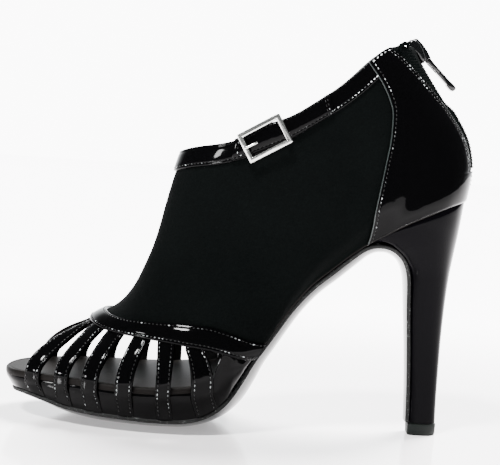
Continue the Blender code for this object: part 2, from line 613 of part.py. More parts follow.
def build_zip():
    heights = np.linspace(ZIP_FOOT - 0.03, 1.0, 14)
    sheet = Sheet()
    halves = [TAPE_HALF * s for s in (1.0, 0.55, 0.0)]
    for side in (-1, 1):
        for r, v in enumerate(heights):
            for c, half in enumerate(halves):
                f = 1.0 if half == 0 else slot_share(v, half)
                sheet.add((r, c, 0 if half == 0 else side), shaft(f, v, side), outward(f, v, side))
        for r in range(len(heights) - 1):
            for c in range(2):
                keys = [(r, c), (r, c + 1), (r + 1, c + 1), (r + 1, c)]
                keys = [(i, j, 0 if j == 2 else side) for i, j in keys]
                sheet.face(*keys, side=side)
    top = -WALL - FIT - 0.00015
    points, faces = sheet.solid(top - TAPE_WALL, top, analytic=True)
    make("zip_tape", points, faces, (0.015, 0.015, 0.015), 0.8)

    rows = []
    pairs = 34
    for k in range(2 * pairs):
        v = ZIP_FOOT + 0.03 + (SLIDER_AT - 0.095 - ZIP_FOOT) * k / (2 * pairs - 1)
        at, out, _ = back_frame(v)
        high = -0.0004 if k % 2 else -0.0009
        ring = []
        for y, depth in ((-TEETH_HALF, top + FIT), (-TEETH_HALF, high - 0.0003), (0.0, high),
                         (TEETH_HALF, high - 0.0003), (TEETH_HALF, top + FIT)):
            ring.append(at + out * depth + np.array([0, y, 0]))
        rows.append(ring)
    strip("zip_teeth", rows, (0.05, 0.05, 0.055), 0.35, 0.9)

    at, out, up = back_frame(SLIDER_AT)
    rows = []
    for along, half, low, high in ((-3.9, 1.8, -0.6, 1.7), (-3.0, 2.6, -1.2, 2.4), (0.0, 3.2, -1.2, 3.0),
                                   (3.5, 3.5, -1.2, 3.5), (4.8, 3.0, -0.8, 2.4)):
        rows.append([at + up * along * 0.001 + out * depth * 0.001 + np.array([0, y * 0.001, 0])
                     for y, depth in ((-half, low), (-half, high), (half, high), (half, low))])
    strip("zip_slider", rows, (0.02, 0.02, 0.022), 0.3, 0.9)
    build_pull(out)


def build_pull(out):
    """Pull tab with its eye round the hinge pin; its origin lies on the pin's axis."""
    down = np.array([math.cos(PULL_FALL), 0.0, -math.sin(PULL_FALL)])
    away = np.array([-down[2], 0.0, down[0]])
    pin = np.array([PULL_PIN[0] * KX, 0.0, PULL_PIN[1] * KZ])
    rows = []
    for along, half, wall in ((-1.0, 1.2, 0.5), (0.0, 1.5, 0.65), (2.0, 1.3, 0.6), (6.0, 1.6, 0.55),
                              (12.0, 2.2, 0.6), (14.5, 2.4, 0.8), (PULL_LENGTH * 1000, 1.6, 0.7)):
        rows.append([down * along * 0.001 + away * depth * 0.001 + np.array([0, y * 0.001, 0])
                     for y, depth in ((-half, -wall), (-half, wall), (half, wall), (half, -wall))])
    pull = strip("zip_pull", rows, (0.02, 0.02, 0.022), 0.3, 0.9)
    pull.location = tuple(pin)


def build_buckle():
    f = share_at(0.95, lambda z: BUCKLE_AT[0])
    foot = band_foot(f)
    v = foot + 0.5 * (1 - foot)
    at, out = shaft(f, v, -1), outward(f, v, -1)
    at[0], at[2] = BUCKLE_AT[0] * KX, BUCKLE_AT[1] * KZ
    long = np.array([math.cos(BUCKLE_TILT), 0.0, math.sin(BUCKLE_TILT)])
    long -= out * (long @ out)
    long /= np.linalg.norm(long)
    wide = np.cross(out, long)
    base = 3 * FIT + 2 * OVERLAY + 0.0002
    half_long, half_wide, bar = BUCKLE_LENGTH / 2, BUCKLE_WIDTH / 2, BUCKLE_BAR
    rings = []
    for a, b, depth in ((half_long, half_wide, base), (half_long, half_wide, base + 0.7 * BUCKLE_WALL),
                        (half_long - bar / 3, half_wide - bar / 3, base + BUCKLE_WALL),
                        (half_long - bar, half_wide - bar, base + BUCKLE_WALL),
                        (half_long - bar, half_wide - bar, base)):
        rings.append([at + long * a * i + wide * b * j + out * depth
                      for i, j in ((-1, -1), (1, -1), (1, 1), (-1, 1))])
    points = [p for ring in rings for p in ring]
    faces = [(r * 4 + c, r * 4 + (c + 1) % 4, (r + 1) % 5 * 4 + (c + 1) % 4, (r + 1) % 5 * 4 + c)
             for r in range(5) for c in range(4)]
    make("buckle_frame", points, faces, (0.6, 0.6, 0.6), 0.2, 1.0)

    start = at - long * (half_long - bar - FIT) + out * (base + 0.5 * BUCKLE_WALL)
    rows = []
    for along, half, lift in ((0.0, 0.9, 0.2), (2.0, 0.8, 0.3), (5.5, 0.7, -0.1), (7.0, 0.5, -0.5)):
        centre = start + long * along * 0.001 + out * lift * 0.001
        rows.append([centre + wide * half * 0.001 * math.cos(k * math.pi / 3)
                     + out * half * 0.0006 * math.sin(k * math.pi / 3) for k in range(6)])
    strip("buckle_prong", rows, (0.6, 0.6, 0.6), 0.2, 1.0)


def main():
    for thing in list(bpy.data.objects):
        bpy.data.objects.remove(thing)
    build_sole()
    build_heel()
    build_upper()
    build_overlays()
    build_zip()
    build_buckle()


if __name__ == "__main__":
    main()
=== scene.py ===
"""Dressed model of a high-heeled court shoe: suede shaft, patent cage, counter, buckle and back zip.

The shapes follow the last given in the tables, in millimetres: X from toe to heel, the outer
side at -Y, the floor at Z = 0. Every piece rides on the frame's bodies and stands for its solids.
"""

import logging
import math
from dataclasses import dataclass, field
from enum import Enum

import bmesh
import bpy
import numpy as np
from mathutils import Matrix, Vector


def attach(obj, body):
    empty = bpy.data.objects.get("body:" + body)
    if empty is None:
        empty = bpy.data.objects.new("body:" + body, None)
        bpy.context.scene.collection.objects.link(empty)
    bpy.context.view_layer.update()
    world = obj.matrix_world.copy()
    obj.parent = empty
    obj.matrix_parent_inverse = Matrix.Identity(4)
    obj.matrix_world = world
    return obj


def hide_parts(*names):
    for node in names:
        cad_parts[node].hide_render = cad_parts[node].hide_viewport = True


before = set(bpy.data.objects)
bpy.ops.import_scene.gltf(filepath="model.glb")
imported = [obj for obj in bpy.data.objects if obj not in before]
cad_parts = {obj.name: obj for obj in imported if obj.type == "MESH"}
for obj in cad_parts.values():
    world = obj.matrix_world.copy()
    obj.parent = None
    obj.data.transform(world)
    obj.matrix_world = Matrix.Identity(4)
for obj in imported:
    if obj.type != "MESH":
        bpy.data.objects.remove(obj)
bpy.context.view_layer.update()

log = logging.getLogger("court_shoe")
MM = 0.001
SIDES = (-1, 1)


# Tables of the last, in millimetres

# Upper face of the outsole at its edge: x, z, half width outer, half width inner, crown
OUTSOLE = [
    (-102.4, 11.8, 0.0, 0.0, 0.4), (-102.3, 11.8, 2.6, 2.6, 0.6), (-101.6, 12.0, 7.0, 7.4, 0.8),
    (-99.5, 12.4, 12.2, 13.0, 1.2), (-95.5, 12.5, 17.2, 19.0, 2.0), (-90.9, 11.9, 20.8, 23.0, 2.8),
    (-82.6, 10.6, 25.6, 27.6, 4.0), (-74.7, 8.9, 29.2, 31.0, 5.2), (-66.1, 8.0, 32.7, 34.0, 6.2),
    (-56.8, 7.5, 35.6, 35.8, 6.8), (-44.1, 7.1, 38.2, 37.8, 6.8), (-33.4, 6.8, 39.2, 38.9, 6.6),
    (-23.2, 6.9, 39.0, 38.8, 6.4), (-14.5, 8.2, 37.8, 37.6, 6.2), (-7.5, 11.2, 36.2, 35.9, 6.2),
    (-1.8, 16.0, 34.0, 33.8, 6.4), (4.1, 25.0, 30.6, 30.4, 5.8), (8.5, 33.0, 27.8, 27.6, 5.2),
    (14.0, 41.0, 25.2, 25.0, 4.8), (19.5, 49.4, 23.3, 23.1, 4.5), (25.5, 58.2, 21.7, 21.5, 4.3),
    (34.2, 68.3, 20.5, 20.3, 4.3), (43.0, 76.0, 20.4, 20.3, 4.4), (51.0, 83.2, 21.4, 21.3, 4.4),
    (57.0, 87.8, 22.2, 22.1, 4.0), (62.5, 89.4, 21.6, 21.6, 3.2), (67.5, 88.9, 20.0, 20.0, 2.4),
    (73.2, 86.0, 17.2, 17.2, 1.6), (77.2, 81.2, 14.4, 14.4, 1.0), (79.5, 73.8, 11.6, 11.6, 0.7),
    (80.7, 59.2, 8.9, 8.9, 0.4), (82.3, 40.4, 7.1, 7.1, 0.3), (83.8, 16.7, 5.9, 5.9, 0.2),
    (84.2, 6.2, 5.5, 5.5, 0.2)]
# Upper face of the footbed and insole: x, z, half width outer, half width inner
INSOLE = [
    (-105.75, 20.8, 0.0, 0.0), (-105.6, 20.8, 2.6, 2.6), (-104.9, 20.9, 7.6, 7.9), (-102.8, 21.0, 12.8, 13.6),
    (-98.9, 21.1, 17.6, 19.2), (-94.0, 21.2, 20.7, 23.0), (-85.6, 21.3, 25.0, 27.0),
    (-78.0, 21.3, 28.3, 30.2), (-70.6, 21.3, 31.4, 33.3), (-62.0, 21.0, 34.6, 35.6),
    (-53.0, 20.7, 37.2, 37.2), (-44.0, 20.6, 39.0, 38.8), (-35.0, 20.7, 39.8, 39.8),
    (-27.0, 21.3, 40.0, 40.0), (-18.0, 22.2, 39.0, 39.0), (-9.0, 23.6, 36.4, 36.3),
    (-3.0, 25.8, 32.6, 32.5), (3.0, 31.4, 28.0, 28.0), (8.0, 38.0, 24.8, 24.8),
    (12.0, 43.6, 23.4, 23.4), (17.5, 51.8, 21.5, 21.5), (24.0, 61.4, 19.5, 19.5),
    (32.5, 71.6, 18.2, 18.2), (41.5, 79.6, 18.0, 18.0), (50.0, 86.9, 19.0, 19.0),
    (57.0, 92.2, 20.4, 20.4), (64.0, 96.4, 21.6, 21.6), (71.0, 100.6, 22.1, 22.1),
    (78.0, 104.2, 21.8, 21.8), (85.0, 107.4, 20.3, 20.3), (90.5, 109.9, 17.2, 17.2),
    (94.8, 111.6, 12.8, 12.8), (97.4, 112.5, 8.4, 8.4), (98.7, 112.9, 3.6, 3.6), (98.9, 113.0, 0.0, 0.0)]
# Foot of the shaft, from the vamp band round the seat: x, z, half width
BASE = [
    (-60.0, 49.4, 0.0), (-59.6, 49.3, 4.6), (-58.8, 49.0, 9.0), (-57.0, 48.6, 14.0), (-53.0, 48.3, 19.8),
    (-47.0, 48.0, 24.6), (-37.0, 48.1, 29.4), (-25.0, 48.7, 33.4), (-13.0, 48.6, 35.2),
    (-3.0, 46.5, 34.8), (3.5, 44.2, 33.0), (9.0, 42.4, 30.2), (14.2, 41.6, 27.2), (19.2, 49.8, 24.6),
    (25.0, 58.6, 22.6), (33.5, 69.0, 21.2), (42.6, 77.0, 21.0), (50.6, 84.1, 22.0), (57.0, 89.0, 23.3),
    (64.0, 93.4, 24.5), (71.0, 97.7, 25.0), (78.0, 101.4, 24.8), (85.0, 104.7, 23.5), (91.0, 107.2, 20.9),
    (95.2, 108.8, 17.1), (98.8, 109.9, 12.5), (101.4, 110.5, 7.0), (102.6, 110.7, 0.0)]
COLLAR = [
    (-29.4, 125.4), (-27.0, 126.6), (-18.0, 128.8), (-10.7, 130.1), (-3.6, 132.3), (8.6, 137.2), (20.5, 144.5),
    (30.7, 151.8), (40.9, 159.4), (47.8, 165.5), (52.0, 170.0), (56.0, 174.2), (61.5, 178.3),
    (68.0, 179.4), (75.4, 180.0)]
# Front ridge and back of the shaft: share of the height, x, z
RIDGE = [
    (0.00, -60.0, 49.4), (0.09, -53.5, 54.1), (0.21, -47.4, 62.9), (0.32, -43.7, 71.7), (0.42, -40.5, 80.3),
    (0.52, -38.2, 88.9), (0.63, -36.4, 97.5), (0.74, -34.5, 106.0), (0.88, -32.0, 115.9), (1.00, -29.4, 125.4)]
BACK = [
    (0.00, 102.6, 110.7), (0.09, 103.7, 117.5), (0.18, 104.3, 124.4), (0.25, 103.7, 129.7), (0.31, 102.8, 134.2),
    (0.39, 100.8, 139.7), (0.47, 97.9, 144.9), (0.55, 94.4, 150.1), (0.63, 91.0, 155.4), (0.71, 87.1, 160.9),
    (0.80, 83.1, 166.6), (0.91, 78.4, 173.8), (1.00, 75.4, 180.0)]
# Half widths of the leg: share of the height, front, middle, back
GIRTH = [(0.0, 31.0, 29.6, 29.4), (0.35, 28.0, 29.4, 29.6), (0.7, 24.0, 28.5, 26.0), (1.0, 21.5, 27.0, 21.0)]
# Front edge of the heel counter: z, x
COUNTER = [(86.0, 57.2), (88.0, 57.5), (98.2, 58.5), (111.9, 60.5), (125.4, 62.6), (138.8, 64.4), (147.7, 64.5),
           (155.1, 62.2), (162.9, 57.9), (170.3, 52.0), (176.0, 48.0)]
# How far the counter's edge stands in front of the zip: z, distance
OPENING = [(100.0, 1.2), (120.0, 1.2), (135.0, 1.5), (145.0, 2.0), (152.8, 2.9), (157.5, 4.2), (162.2, 5.2),
           (166.5, 6.4), (170.3, 7.8), (173.2, 9.2), (175.7, 11.0), (178.6, 14.2), (182.0, 16.0)]
# Lower edge of the vamp band: x, z, half width
BAND = [
    (-67.4, 45.2, 0.0), (-67.1, 45.0, 4.6), (-66.2, 44.6, 9.2), (-64.0, 43.8, 13.6), (-60.3, 42.8, 18.2),
    (-57.7, 42.4, 20.8), (-50.2, 41.8, 26.4), (-45.1, 41.6, 29.4), (-38.3, 41.3, 32.6), (-33.6, 41.0, 34.6),
    (-25.8, 40.4, 37.0), (-21.0, 39.9, 38.2), (-12.4, 39.1, 39.0), (-4.0, 37.4, 38.4), (1.5, 35.9, 36.2),
    (6.0, 34.9, 32.8), (9.4, 34.9, 29.6)]
# Edges of the straps: x at the outsole, at the footbed, under the band, on the band's top, rise
EDGES = [
    (-92.3, -93.7, -67.1, -59.6, 0.50), (-83.1, -86.6, -66.2, -58.9, 0.24),
    (-78.6, -79.5, -65.2, -57.9, 0.40), (-70.0, -72.9, -60.3, -54.5, 0.30),
    (-64.7, -66.6, -57.7, -52.0, 0.38), (-56.0, -58.9, -50.2, -46.0, 0.38),
    (-49.2, -51.0, -45.1, -41.5, 0.40), (-41.9, -43.0, -38.3, -35.5, 0.40),
    (-31.7, -32.8, -33.6, -31.0, 0.40), (-24.4, -25.9, -25.8, -24.0, 0.40),
    (-14.2, -17.0, -21.0, -19.5, 0.40), (-5.0, -7.2, -12.4, -11.0, 0.40),
    (-5.0, -7.2, -4.0, -3.0, 0.40), (-0.4, 0.5, 1.5, 3.5, 0.0), (4.4, 5.5, 6.0, 9.0, 0.0),
    (9.4, 9.4, 9.4, 14.2, 0.0)]
PANEL = 12
# Heel: front x, front z, back x, back z, half width
HEEL = [
    (84.6, 5.9, 97.0, 5.9, 5.6), (84.3, 17.0, 96.8, 17.0, 6.0), (82.8, 40.5, 96.9, 40.2, 7.2),
    (81.2, 59.4, 97.4, 57.0, 9.0), (80.0, 74.2, 98.6, 75.0, 12.0), (77.7, 81.9, 99.8, 84.4, 15.8),
    (73.5, 86.7, 101.0, 92.5, 19.2), (67.6, 89.5, 102.2, 100.0, 22.2), (57.8, 89.0, 103.6, 110.0, 24.6)]
# Plan of a heel section: share of its length, share of its half width
HEEL_PLAN = [(0.0, 0.0), (0.0, 0.5), (0.01, 0.84), (0.06, 0.94), (0.22, 1.0), (0.42, 0.99), (0.6, 0.93),
             (0.76, 0.79), (0.88, 0.58), (0.96, 0.33), (1.0, 0.0)]

WALL = 1.6
OVERLAY = 0.9
FIT = 0.35
ZIP_FOOT = 0.18
ZIP_SLOT = 4.2
COLLAR_BAND = 9.6
LIFT_HEIGHT = 5.5


class Track:
    """A smooth curve through one column of a table."""

    def __init__(self, rows: list[tuple], column: int = 1, soft: float = 0.0, squared: bool = False) -> None:
        """Samples the curve.

        Args:
            rows: table whose first column rises.
            column: the column that the curve follows.
            soft: width of the smoothing, in units of the first column.
            squared: follow the square of the column, which rounds an end that falls to nothing.
        """
        xs = np.array([r[0] for r in rows], float)
        ys = np.array([r[column] for r in rows], float) ** (2 if squared else 1)
        step = np.diff(xs)
        slope = np.diff(ys) / step
        total = slope[:-1] + slope[1:]
        inner = np.where(slope[:-1] * slope[1:] > 0, 2 * slope[:-1] * slope[1:] / np.where(total == 0, 1, total), 0)
        ends = np.concatenate([[slope[0]], inner, [slope[-1]]])
        self.at = np.linspace(xs[0], xs[-1], 2001)
        i = np.clip(np.searchsorted(xs, self.at) - 1, 0, len(step) - 1)
        t = (self.at - xs[i]) / step[i]
        self.values = ((1 + 2 * t) * (1 - t) ** 2 * ys[i] + t * (1 - t) ** 2 * step[i] * ends[i]
                       + t * t * (3 - 2 * t) * ys[i + 1] + t * t * (t - 1) * step[i] * ends[i + 1])
        self.squared = squared
        if soft > 0:
            pace = self.at[1] - self.at[0]
            reach = max(int(3 * soft / pace), 1)
            kernel = np.exp(-0.5 * (np.arange(-reach, reach + 1) * pace / soft) ** 2)
            kernel /= kernel.sum()
            head = 2 * self.values[0] - self.values[reach:0:-1]
            tail = 2 * self.values[-1] - self.values[-2:-reach - 2:-1]
            self.values = np.convolve(np.concatenate([head, self.values, tail]), kernel, "valid")

    def __call__(self, x: np.ndarray | float) -> np.ndarray:
        """The column's value at x."""
        got = np.interp(x, self.at, self.values)
        return np.sqrt(np.maximum(got, 0.0)) if self.squared else got


def ease(t: np.ndarray | float) -> np.ndarray:
    """A soft step from 0 to 1."""
    t = np.clip(t, 0.0, 1.0)
    return t * t * (3 - 2 * t)


def unit(v: np.ndarray) -> np.ndarray:
    """The vectors at length 1."""
    return v / np.maximum(np.linalg.norm(v, axis=-1, keepdims=True), 1e-9)


class Shaft:
    """The skin of the leg and of what is laid on it, in millimetres."""

    def __init__(self) -> None:
        """Builds the curves that the skin follows."""
        self.base_z = Track(BASE, 1, soft=1.2)
        self.base_half = Track(BASE, 2, soft=1.5, squared=True)
        self.collar_z = Track(COLLAR, 1, soft=2.5)
        self.ridge = (Track(RIDGE, 1, soft=0.03), Track(RIDGE, 2, soft=0.03))
        self.back = (Track(BACK, 1, soft=0.03), Track(BACK, 2, soft=0.03))
        self.girth = [Track(GIRTH, c, soft=0.06) for c in (1, 2, 3)]
        self.counter_x = Track(COUNTER, 1, soft=2.0)
        self.opening = Track(OPENING, 1, soft=1.5)

    def skin(self, f: np.ndarray, v: np.ndarray, side: int) -> np.ndarray:
        """Points of the outer skin.

        Args:
            f: from the front ridge, 0, to the back, 1.
            v: from the foot of the shaft, 0, to the collar, 1.
            side: -1 for the outer side, 1 for the inner.

        Returns:
            The points, one per pair of f and v.
        """
        f, v = np.broadcast_arrays(np.asarray(f, float), np.asarray(v, float))
        xb = BASE[0][0] + f * (BASE[-1][0] - BASE[0][0])
        xc = COLLAR[0][0] + f * (COLLAR[-1][0] - COLLAR[0][0])
        x = (1 - v) * xb + v * xc
        z = (1 - v) * self.base_z(xb) + v * self.collar_z(xc)
        for share, (ex, ez), rows in ((1 - f, self.ridge, RIDGE), (f, self.back, BACK)):
            x = x + share * (ex(v) - (1 - v) * rows[0][1] - v * rows[-1][1])
            z = z + share * (ez(v) - (1 - v) * rows[0][2] - v * rows[-1][2])
        wide = [g(v) for g in self.girth]
        across = wide[0] * (1 - f) * (1 - 2 * f) + 4 * wide[1] * f * (1 - f) + wide[2] * f * (2 * f - 1)
        leg = across * np.maximum(4 * f * (1 - f), 0.0) ** 0.46
        near = ease(v / (0.4 - 0.2 * ease((f - 0.42) / 0.13) * (1 - ease((f - 0.76) / 0.14))))
        half = (1 - near) * self.base_half(xb) + near * leg
        rim = 0.20 - 0.10 * ease((f - 0.7) / 0.2)
        cup = 1 - (1 - np.clip(v / rim, 0, 1)) ** 2 - ease((v - rim) / 0.4)
        half = half + 1.7 * cup * ease((f - 0.60) / 0.12) * np.maximum(4 * f * (1 - f), 0.0) ** 0.5
        return np.stack([x, side * half, z], axis=-1)

    def normal(self, f: np.ndarray, v: np.ndarray, side: int) -> np.ndarray:
        """Directions out of the skin at the same places."""
        f, v = np.broadcast_arrays(np.asarray(f, float), np.asarray(v, float))
        f0, f1 = np.maximum(f - 0.003, 0.0012), np.minimum(f + 0.003, 0.9988)
        v0, v1 = np.maximum(v - 0.008, 0.0), np.minimum(v + 0.008, 1.0)
        along = self.skin(f1, v, side) - self.skin(f0, v, side)
        up = self.skin(f, v1, side) - self.skin(f, v0, side)
        out = np.cross(along, up) * (-side)
        edge = (f <= 0.0) | (f >= 1.0)
        out[..., 1] = np.where(edge, 0.0, out[..., 1])
        return unit(out)

    def share_from_back(self, v: float, half: float) -> float:
        """The f at which the skin is that half width from the back seam."""
        low, high = 0.85, 1.0
        for _ in range(26):
            mid = (low + high) / 2
            low, high = (mid, high) if abs(float(self.skin(mid, v, -1)[1])) > half else (low, mid)
        return (low + high) / 2

    def opening_share(self, v: float) -> float:
        """The f at which the counter ends beside the zip."""
        seam = self.skin(1.0, v, -1)
        low, high = 0.5, 1.0
        for _ in range(26):
            mid = (low + high) / 2
            p = self.skin(mid, v, -1)
            far = float(seam[0] - p[0]) > float(self.opening(p[2]))
            low, high = (mid, high) if far else (low, mid)
        return min((low + high) / 2, self.share_from_back(v, ZIP_SLOT))

    def share_at_x(self, v: float, x: float) -> float:
        """The f at which the skin reaches x in side view."""
        low, high = 0.0, 1.0
        for _ in range(26):
            mid = (low + high) / 2
            low, high = (mid, high) if float(self.skin(mid, v, -1)[0]) < x else (low, mid)
        return (low + high) / 2

    def counter_share(self, v: float) -> float:
        """The f of the counter's front edge."""
        low, high = 0.3, 1.0
        for _ in range(26):
            mid = (low + high) / 2
            p = self.skin(mid, v, -1)
            low, high = (mid, high) if float(p[0]) < float(self.counter_x(p[2])) else (low, mid)
        return (low + high) / 2

    def height(self, f: float) -> float:
        """Length of the skin from foot to collar at that f."""
        return 5 * float(np.linalg.norm(self.skin(f, 1.0, -1) - self.skin(f, 0.8, -1)))


SHAFT = Shaft()


# Meshes

def piece(name: str, points: np.ndarray, faces: list[tuple], materials: list[bpy.types.Material],
          slots: list[int] | None = None, crease: float = 38.0) -> bpy.types.Object:
    """Makes a mesh object from points in millimetres.

    Args:
        name: name of the piece.
        points: its points.
        faces: its faces.
        materials: its materials.
        slots: index of the material of each face.
        crease: faces that meet at more than this many degrees keep a sharp edge.

    Returns:
        The object, linked to the scene.
    """
    mesh = bpy.data.meshes.new(name)
    mesh.from_pydata((np.asarray(points) * MM).tolist(), [], faces)
    mesh.validate()
    for material in materials:
        mesh.materials.append(material)
    if slots:
        mesh.polygons.foreach_set("material_index", slots)
    mesh.calc_loop_triangles()
    corners = np.array([list(v.co) for v in mesh.vertices])
    tris = np.array([t.vertices for t in mesh.loop_triangles])
    if np.linalg.det(corners[tris]).sum() < 0:
        mesh.flip_normals()
    mesh.shade_smooth()
    mesh.set_sharp_from_angle(angle=math.radians(crease))
    thing = bpy.data.objects.new(name, mesh)
    bpy.context.scene.collection.objects.link(thing)
    return thing


def joined(name: str, parts: list[tuple[np.ndarray, list[tuple], list[int] | None]],
           materials: list[bpy.types.Material], crease: float = 38.0) -> bpy.types.Object:
    """Joins several closed shells, each turned outward on its own, into one piece."""
    points, faces, slots, count = [], [], [], 0
    for pts, fcs, sl in parts:
        pts = np.asarray(pts)
        tris = np.array([(f[0], f[i], f[i + 1]) for f in fcs for i in range(1, len(f) - 1)])
        turn = np.linalg.det(pts[tris]).sum() < 0
        faces += [tuple(count + i for i in (f[::-1] if turn else f)) for f in fcs]
        slots += sl or [0] * len(fcs)
        points.append(pts)
        count += len(pts)
    return piece(name, np.concatenate(points), faces, materials, slots, crease)


def grid_shell(skin: np.ndarray, out: np.ndarray, top: np.ndarray, bottom: np.ndarray,
               split: bool = False) -> tuple[np.ndarray, list[tuple], list[int]]:
    """Closes a grid of skin points into a leather piece.

    Args:
        skin: rows by columns of points.
        out: direction out of the skin at each.
        top: height of the outer face over the skin at each.
        bottom: height of the inner face.
        split: gives the inner face material 1.

    Returns:
        Points, faces and material slots.
    """
    rows, cols = skin.shape[:2]
    high = (skin + out * np.asarray(top)[..., None]).reshape(-1, 3)
    low = (skin + out * np.asarray(bottom)[..., None]).reshape(-1, 3)
    n = rows * cols
    faces, slots = [], []
    for r in range(rows - 1):
        for c in range(cols - 1):
            a, b, d, e = r * cols + c, r * cols + c + 1, (r + 1) * cols + c + 1, (r + 1) * cols + c
            faces += [(a, b, d, e), (n + a, n + e, n + d, n + b)]
            slots += [0, 1 if split else 0]
    rim = [c for c in range(cols)] + [r * cols + cols - 1 for r in range(1, rows)]
    rim += [(rows - 1) * cols + c for c in range(cols - 2, -1, -1)] + [r * cols for r in range(rows - 2, 0, -1)]
    for i, a in enumerate(rim):
        b = rim[(i + 1) % len(rim)]
        faces.append((b, a, n + a, n + b))
        slots.append(0)
    return np.concatenate([high, low]), faces, slots


def across(width: float, middle: int = 5, seam: float = 1.4) -> np.ndarray:
    """Places across a strap, in millimetres from its edge, close together at its turned edges and seams."""
    edge = [0.0, 0.06, 0.2, 0.42, 0.75, seam - 0.3, seam, seam + 0.3, seam + 0.7]
    edge = [e for e in edge if e < width / 2 - 0.2]
    centre = list(np.linspace(edge[-1], width - edge[-1], middle + 2)[1:-1])
    return np.array(edge + centre + [width - e for e in reversed(edge)])


def leather_top(d: np.ndarray, width: float, thick: float, seams: tuple[float, ...] = (1.4,),
                puff: float = 0.12, groove: float = 0.12) -> np.ndarray:
    """Height of a leather strap's face: rounded edges, a soft swell and a trough along each seam.

    Args:
        d: distance from the first edge.
        width: width of the strap.
        thick: thickness of the leather.
        seams: distance of the stitch rows from both edges.
        puff: swell in the middle.
        groove: depth of the troughs.

    Returns:
        Heights over the underside.
    """
    near = np.minimum(d, width - d)
    round_off = np.sqrt(np.maximum(1 - (1 - np.clip(near / (0.75 * thick), 0, 1)) ** 2, 0))
    height = thick * (0.25 + 0.75 * round_off) + puff * ease(near / (0.4 * width))
    for s in seams:
        height = height - groove * np.exp(-((near - s) / 0.32) ** 2)
    return height


# Finishes

def shader_of(name: str) -> tuple[bpy.types.Material, bpy.types.Node]:
    """A new material and its Principled shader."""
    material = bpy.data.materials.new(name)
    material.use_nodes = True
    return material, material.node_tree.nodes["Principled BSDF"]


def link_bump(material: bpy.types.Material, shader: bpy.types.Node, height: bpy.types.NodeSocket,
              strength: float, distance: float) -> None:
    """Adds a bump from a height socket."""
    bump = material.node_tree.nodes.new("ShaderNodeBump")
    bump.inputs["Strength"].default_value = strength
    bump.inputs["Distance"].default_value = distance
    material.node_tree.links.new(height, bump.inputs["Height"])
    material.node_tree.links.new(bump.outputs["Normal"], shader.inputs["Normal"])


def noise_of(material: bpy.types.Material, scale: float, detail: float = 2.0,
             rough: float = 0.5) -> bpy.types.Node:
    """A noise on the piece's own coordinates."""
    nodes, links = material.node_tree.nodes, material.node_tree.links
    coords = nodes.get("Coordinates") or nodes.new("ShaderNodeTexCoord")
    coords.name = "Coordinates"
    noise = nodes.new("ShaderNodeTexNoise")
    noise.inputs["Scale"].default_value = scale
    noise.inputs["Detail"].default_value = detail
    noise.inputs["Roughness"].default_value = rough
    links.new(coords.outputs["Object"], noise.inputs["Vector"])
    return noise


@dataclass(frozen=True)
class Patent:
    """Patent leather: a dark hide under a hard, slightly wavy gloss."""

    name: str = "patent_leather"
    colour: tuple[float, float, float] = (0.0006, 0.0006, 0.0007)
    gloss: float = 0.05
    wave: float = 0.4
    mirror: float = 0.048

    def build(self) -> bpy.types.Material:
        """The material."""
        material, shader = shader_of(self.name)
        shader.inputs["Base Color"].default_value = (*self.colour, 1)
        shader.inputs["Roughness"].default_value = self.gloss
        shader.inputs["Specular IOR Level"].default_value = self.mirror
        noise = noise_of(material, 95.0, 1.5)
        link_bump(material, shader, noise.outputs["Fac"], self.wave, 0.0006)
        return material


@dataclass(frozen=True)
class Suede:
    """Black suede: a matt nap with paler flecks where it is brushed."""

    name: str = "suede"
    colour: tuple[float, float, float] = (0.0004, 0.0006, 0.0006)
    fleck: tuple[float, float, float] = (0.0016, 0.0022, 0.0021)

    def build(self) -> bpy.types.Material:
        """The material."""
        material, shader = shader_of(self.name)
        nodes, links = material.node_tree.nodes, material.node_tree.links
        broad, fine = noise_of(material, 34.0, 2.0, 0.5), noise_of(material, 1300.0, 4.0, 0.75)
        mixed, even = nodes.new("ShaderNodeMath"), nodes.new("ShaderNodeMath")
        mixed.operation, even.operation = "MULTIPLY", "MULTIPLY_ADD"
        even.inputs[1].default_value, even.inputs[2].default_value = 0.35, 0.33
        links.new(broad.outputs["Fac"], even.inputs[0])
        links.new(even.outputs[0], mixed.inputs[0])
        links.new(fine.outputs["Fac"], mixed.inputs[1])
        ramp = nodes.new("ShaderNodeValToRGB")
        ramp.color_ramp.elements[0].position, ramp.color_ramp.elements[1].position = 0.12, 0.46
        ramp.color_ramp.elements[0].color = (*self.colour, 1)
        ramp.color_ramp.elements[1].color = (*self.fleck, 1)
        links.new(mixed.outputs[0], ramp.inputs["Fac"])
        links.new(ramp.outputs["Color"], shader.inputs["Base Color"])
        shader.inputs["Roughness"].default_value = 0.95
        shader.inputs["Specular IOR Level"].default_value = 0.02
        link_bump(material, shader, fine.outputs["Fac"], 0.5, 0.0003)
        return material


@dataclass(frozen=True)
class Plain:
    """A finish of one colour with a fine grain."""

    name: str
    colour: tuple[float, float, float]
    rough: float
    metal: float = 0.0
    coat: float = 0.0
    grain: float = 0.0
    grain_size: float = 900.0
    specular: float = 0.5

    def build(self) -> bpy.types.Material:
        """The material."""
        material, shader = shader_of(self.name)
        shader.inputs["Base Color"].default_value = (*self.colour, 1)
        shader.inputs["Roughness"].default_value = self.rough
        shader.inputs["Metallic"].default_value = self.metal
        shader.inputs["Coat Weight"].default_value = self.coat
        shader.inputs["Coat Roughness"].default_value = 0.08
        shader.inputs["Specular IOR Level"].default_value = self.specular
        noise = noise_of(material, self.grain_size, 3.0)
        link_bump(material, shader, noise.outputs["Fac"], self.grain, 0.0003)
        return material


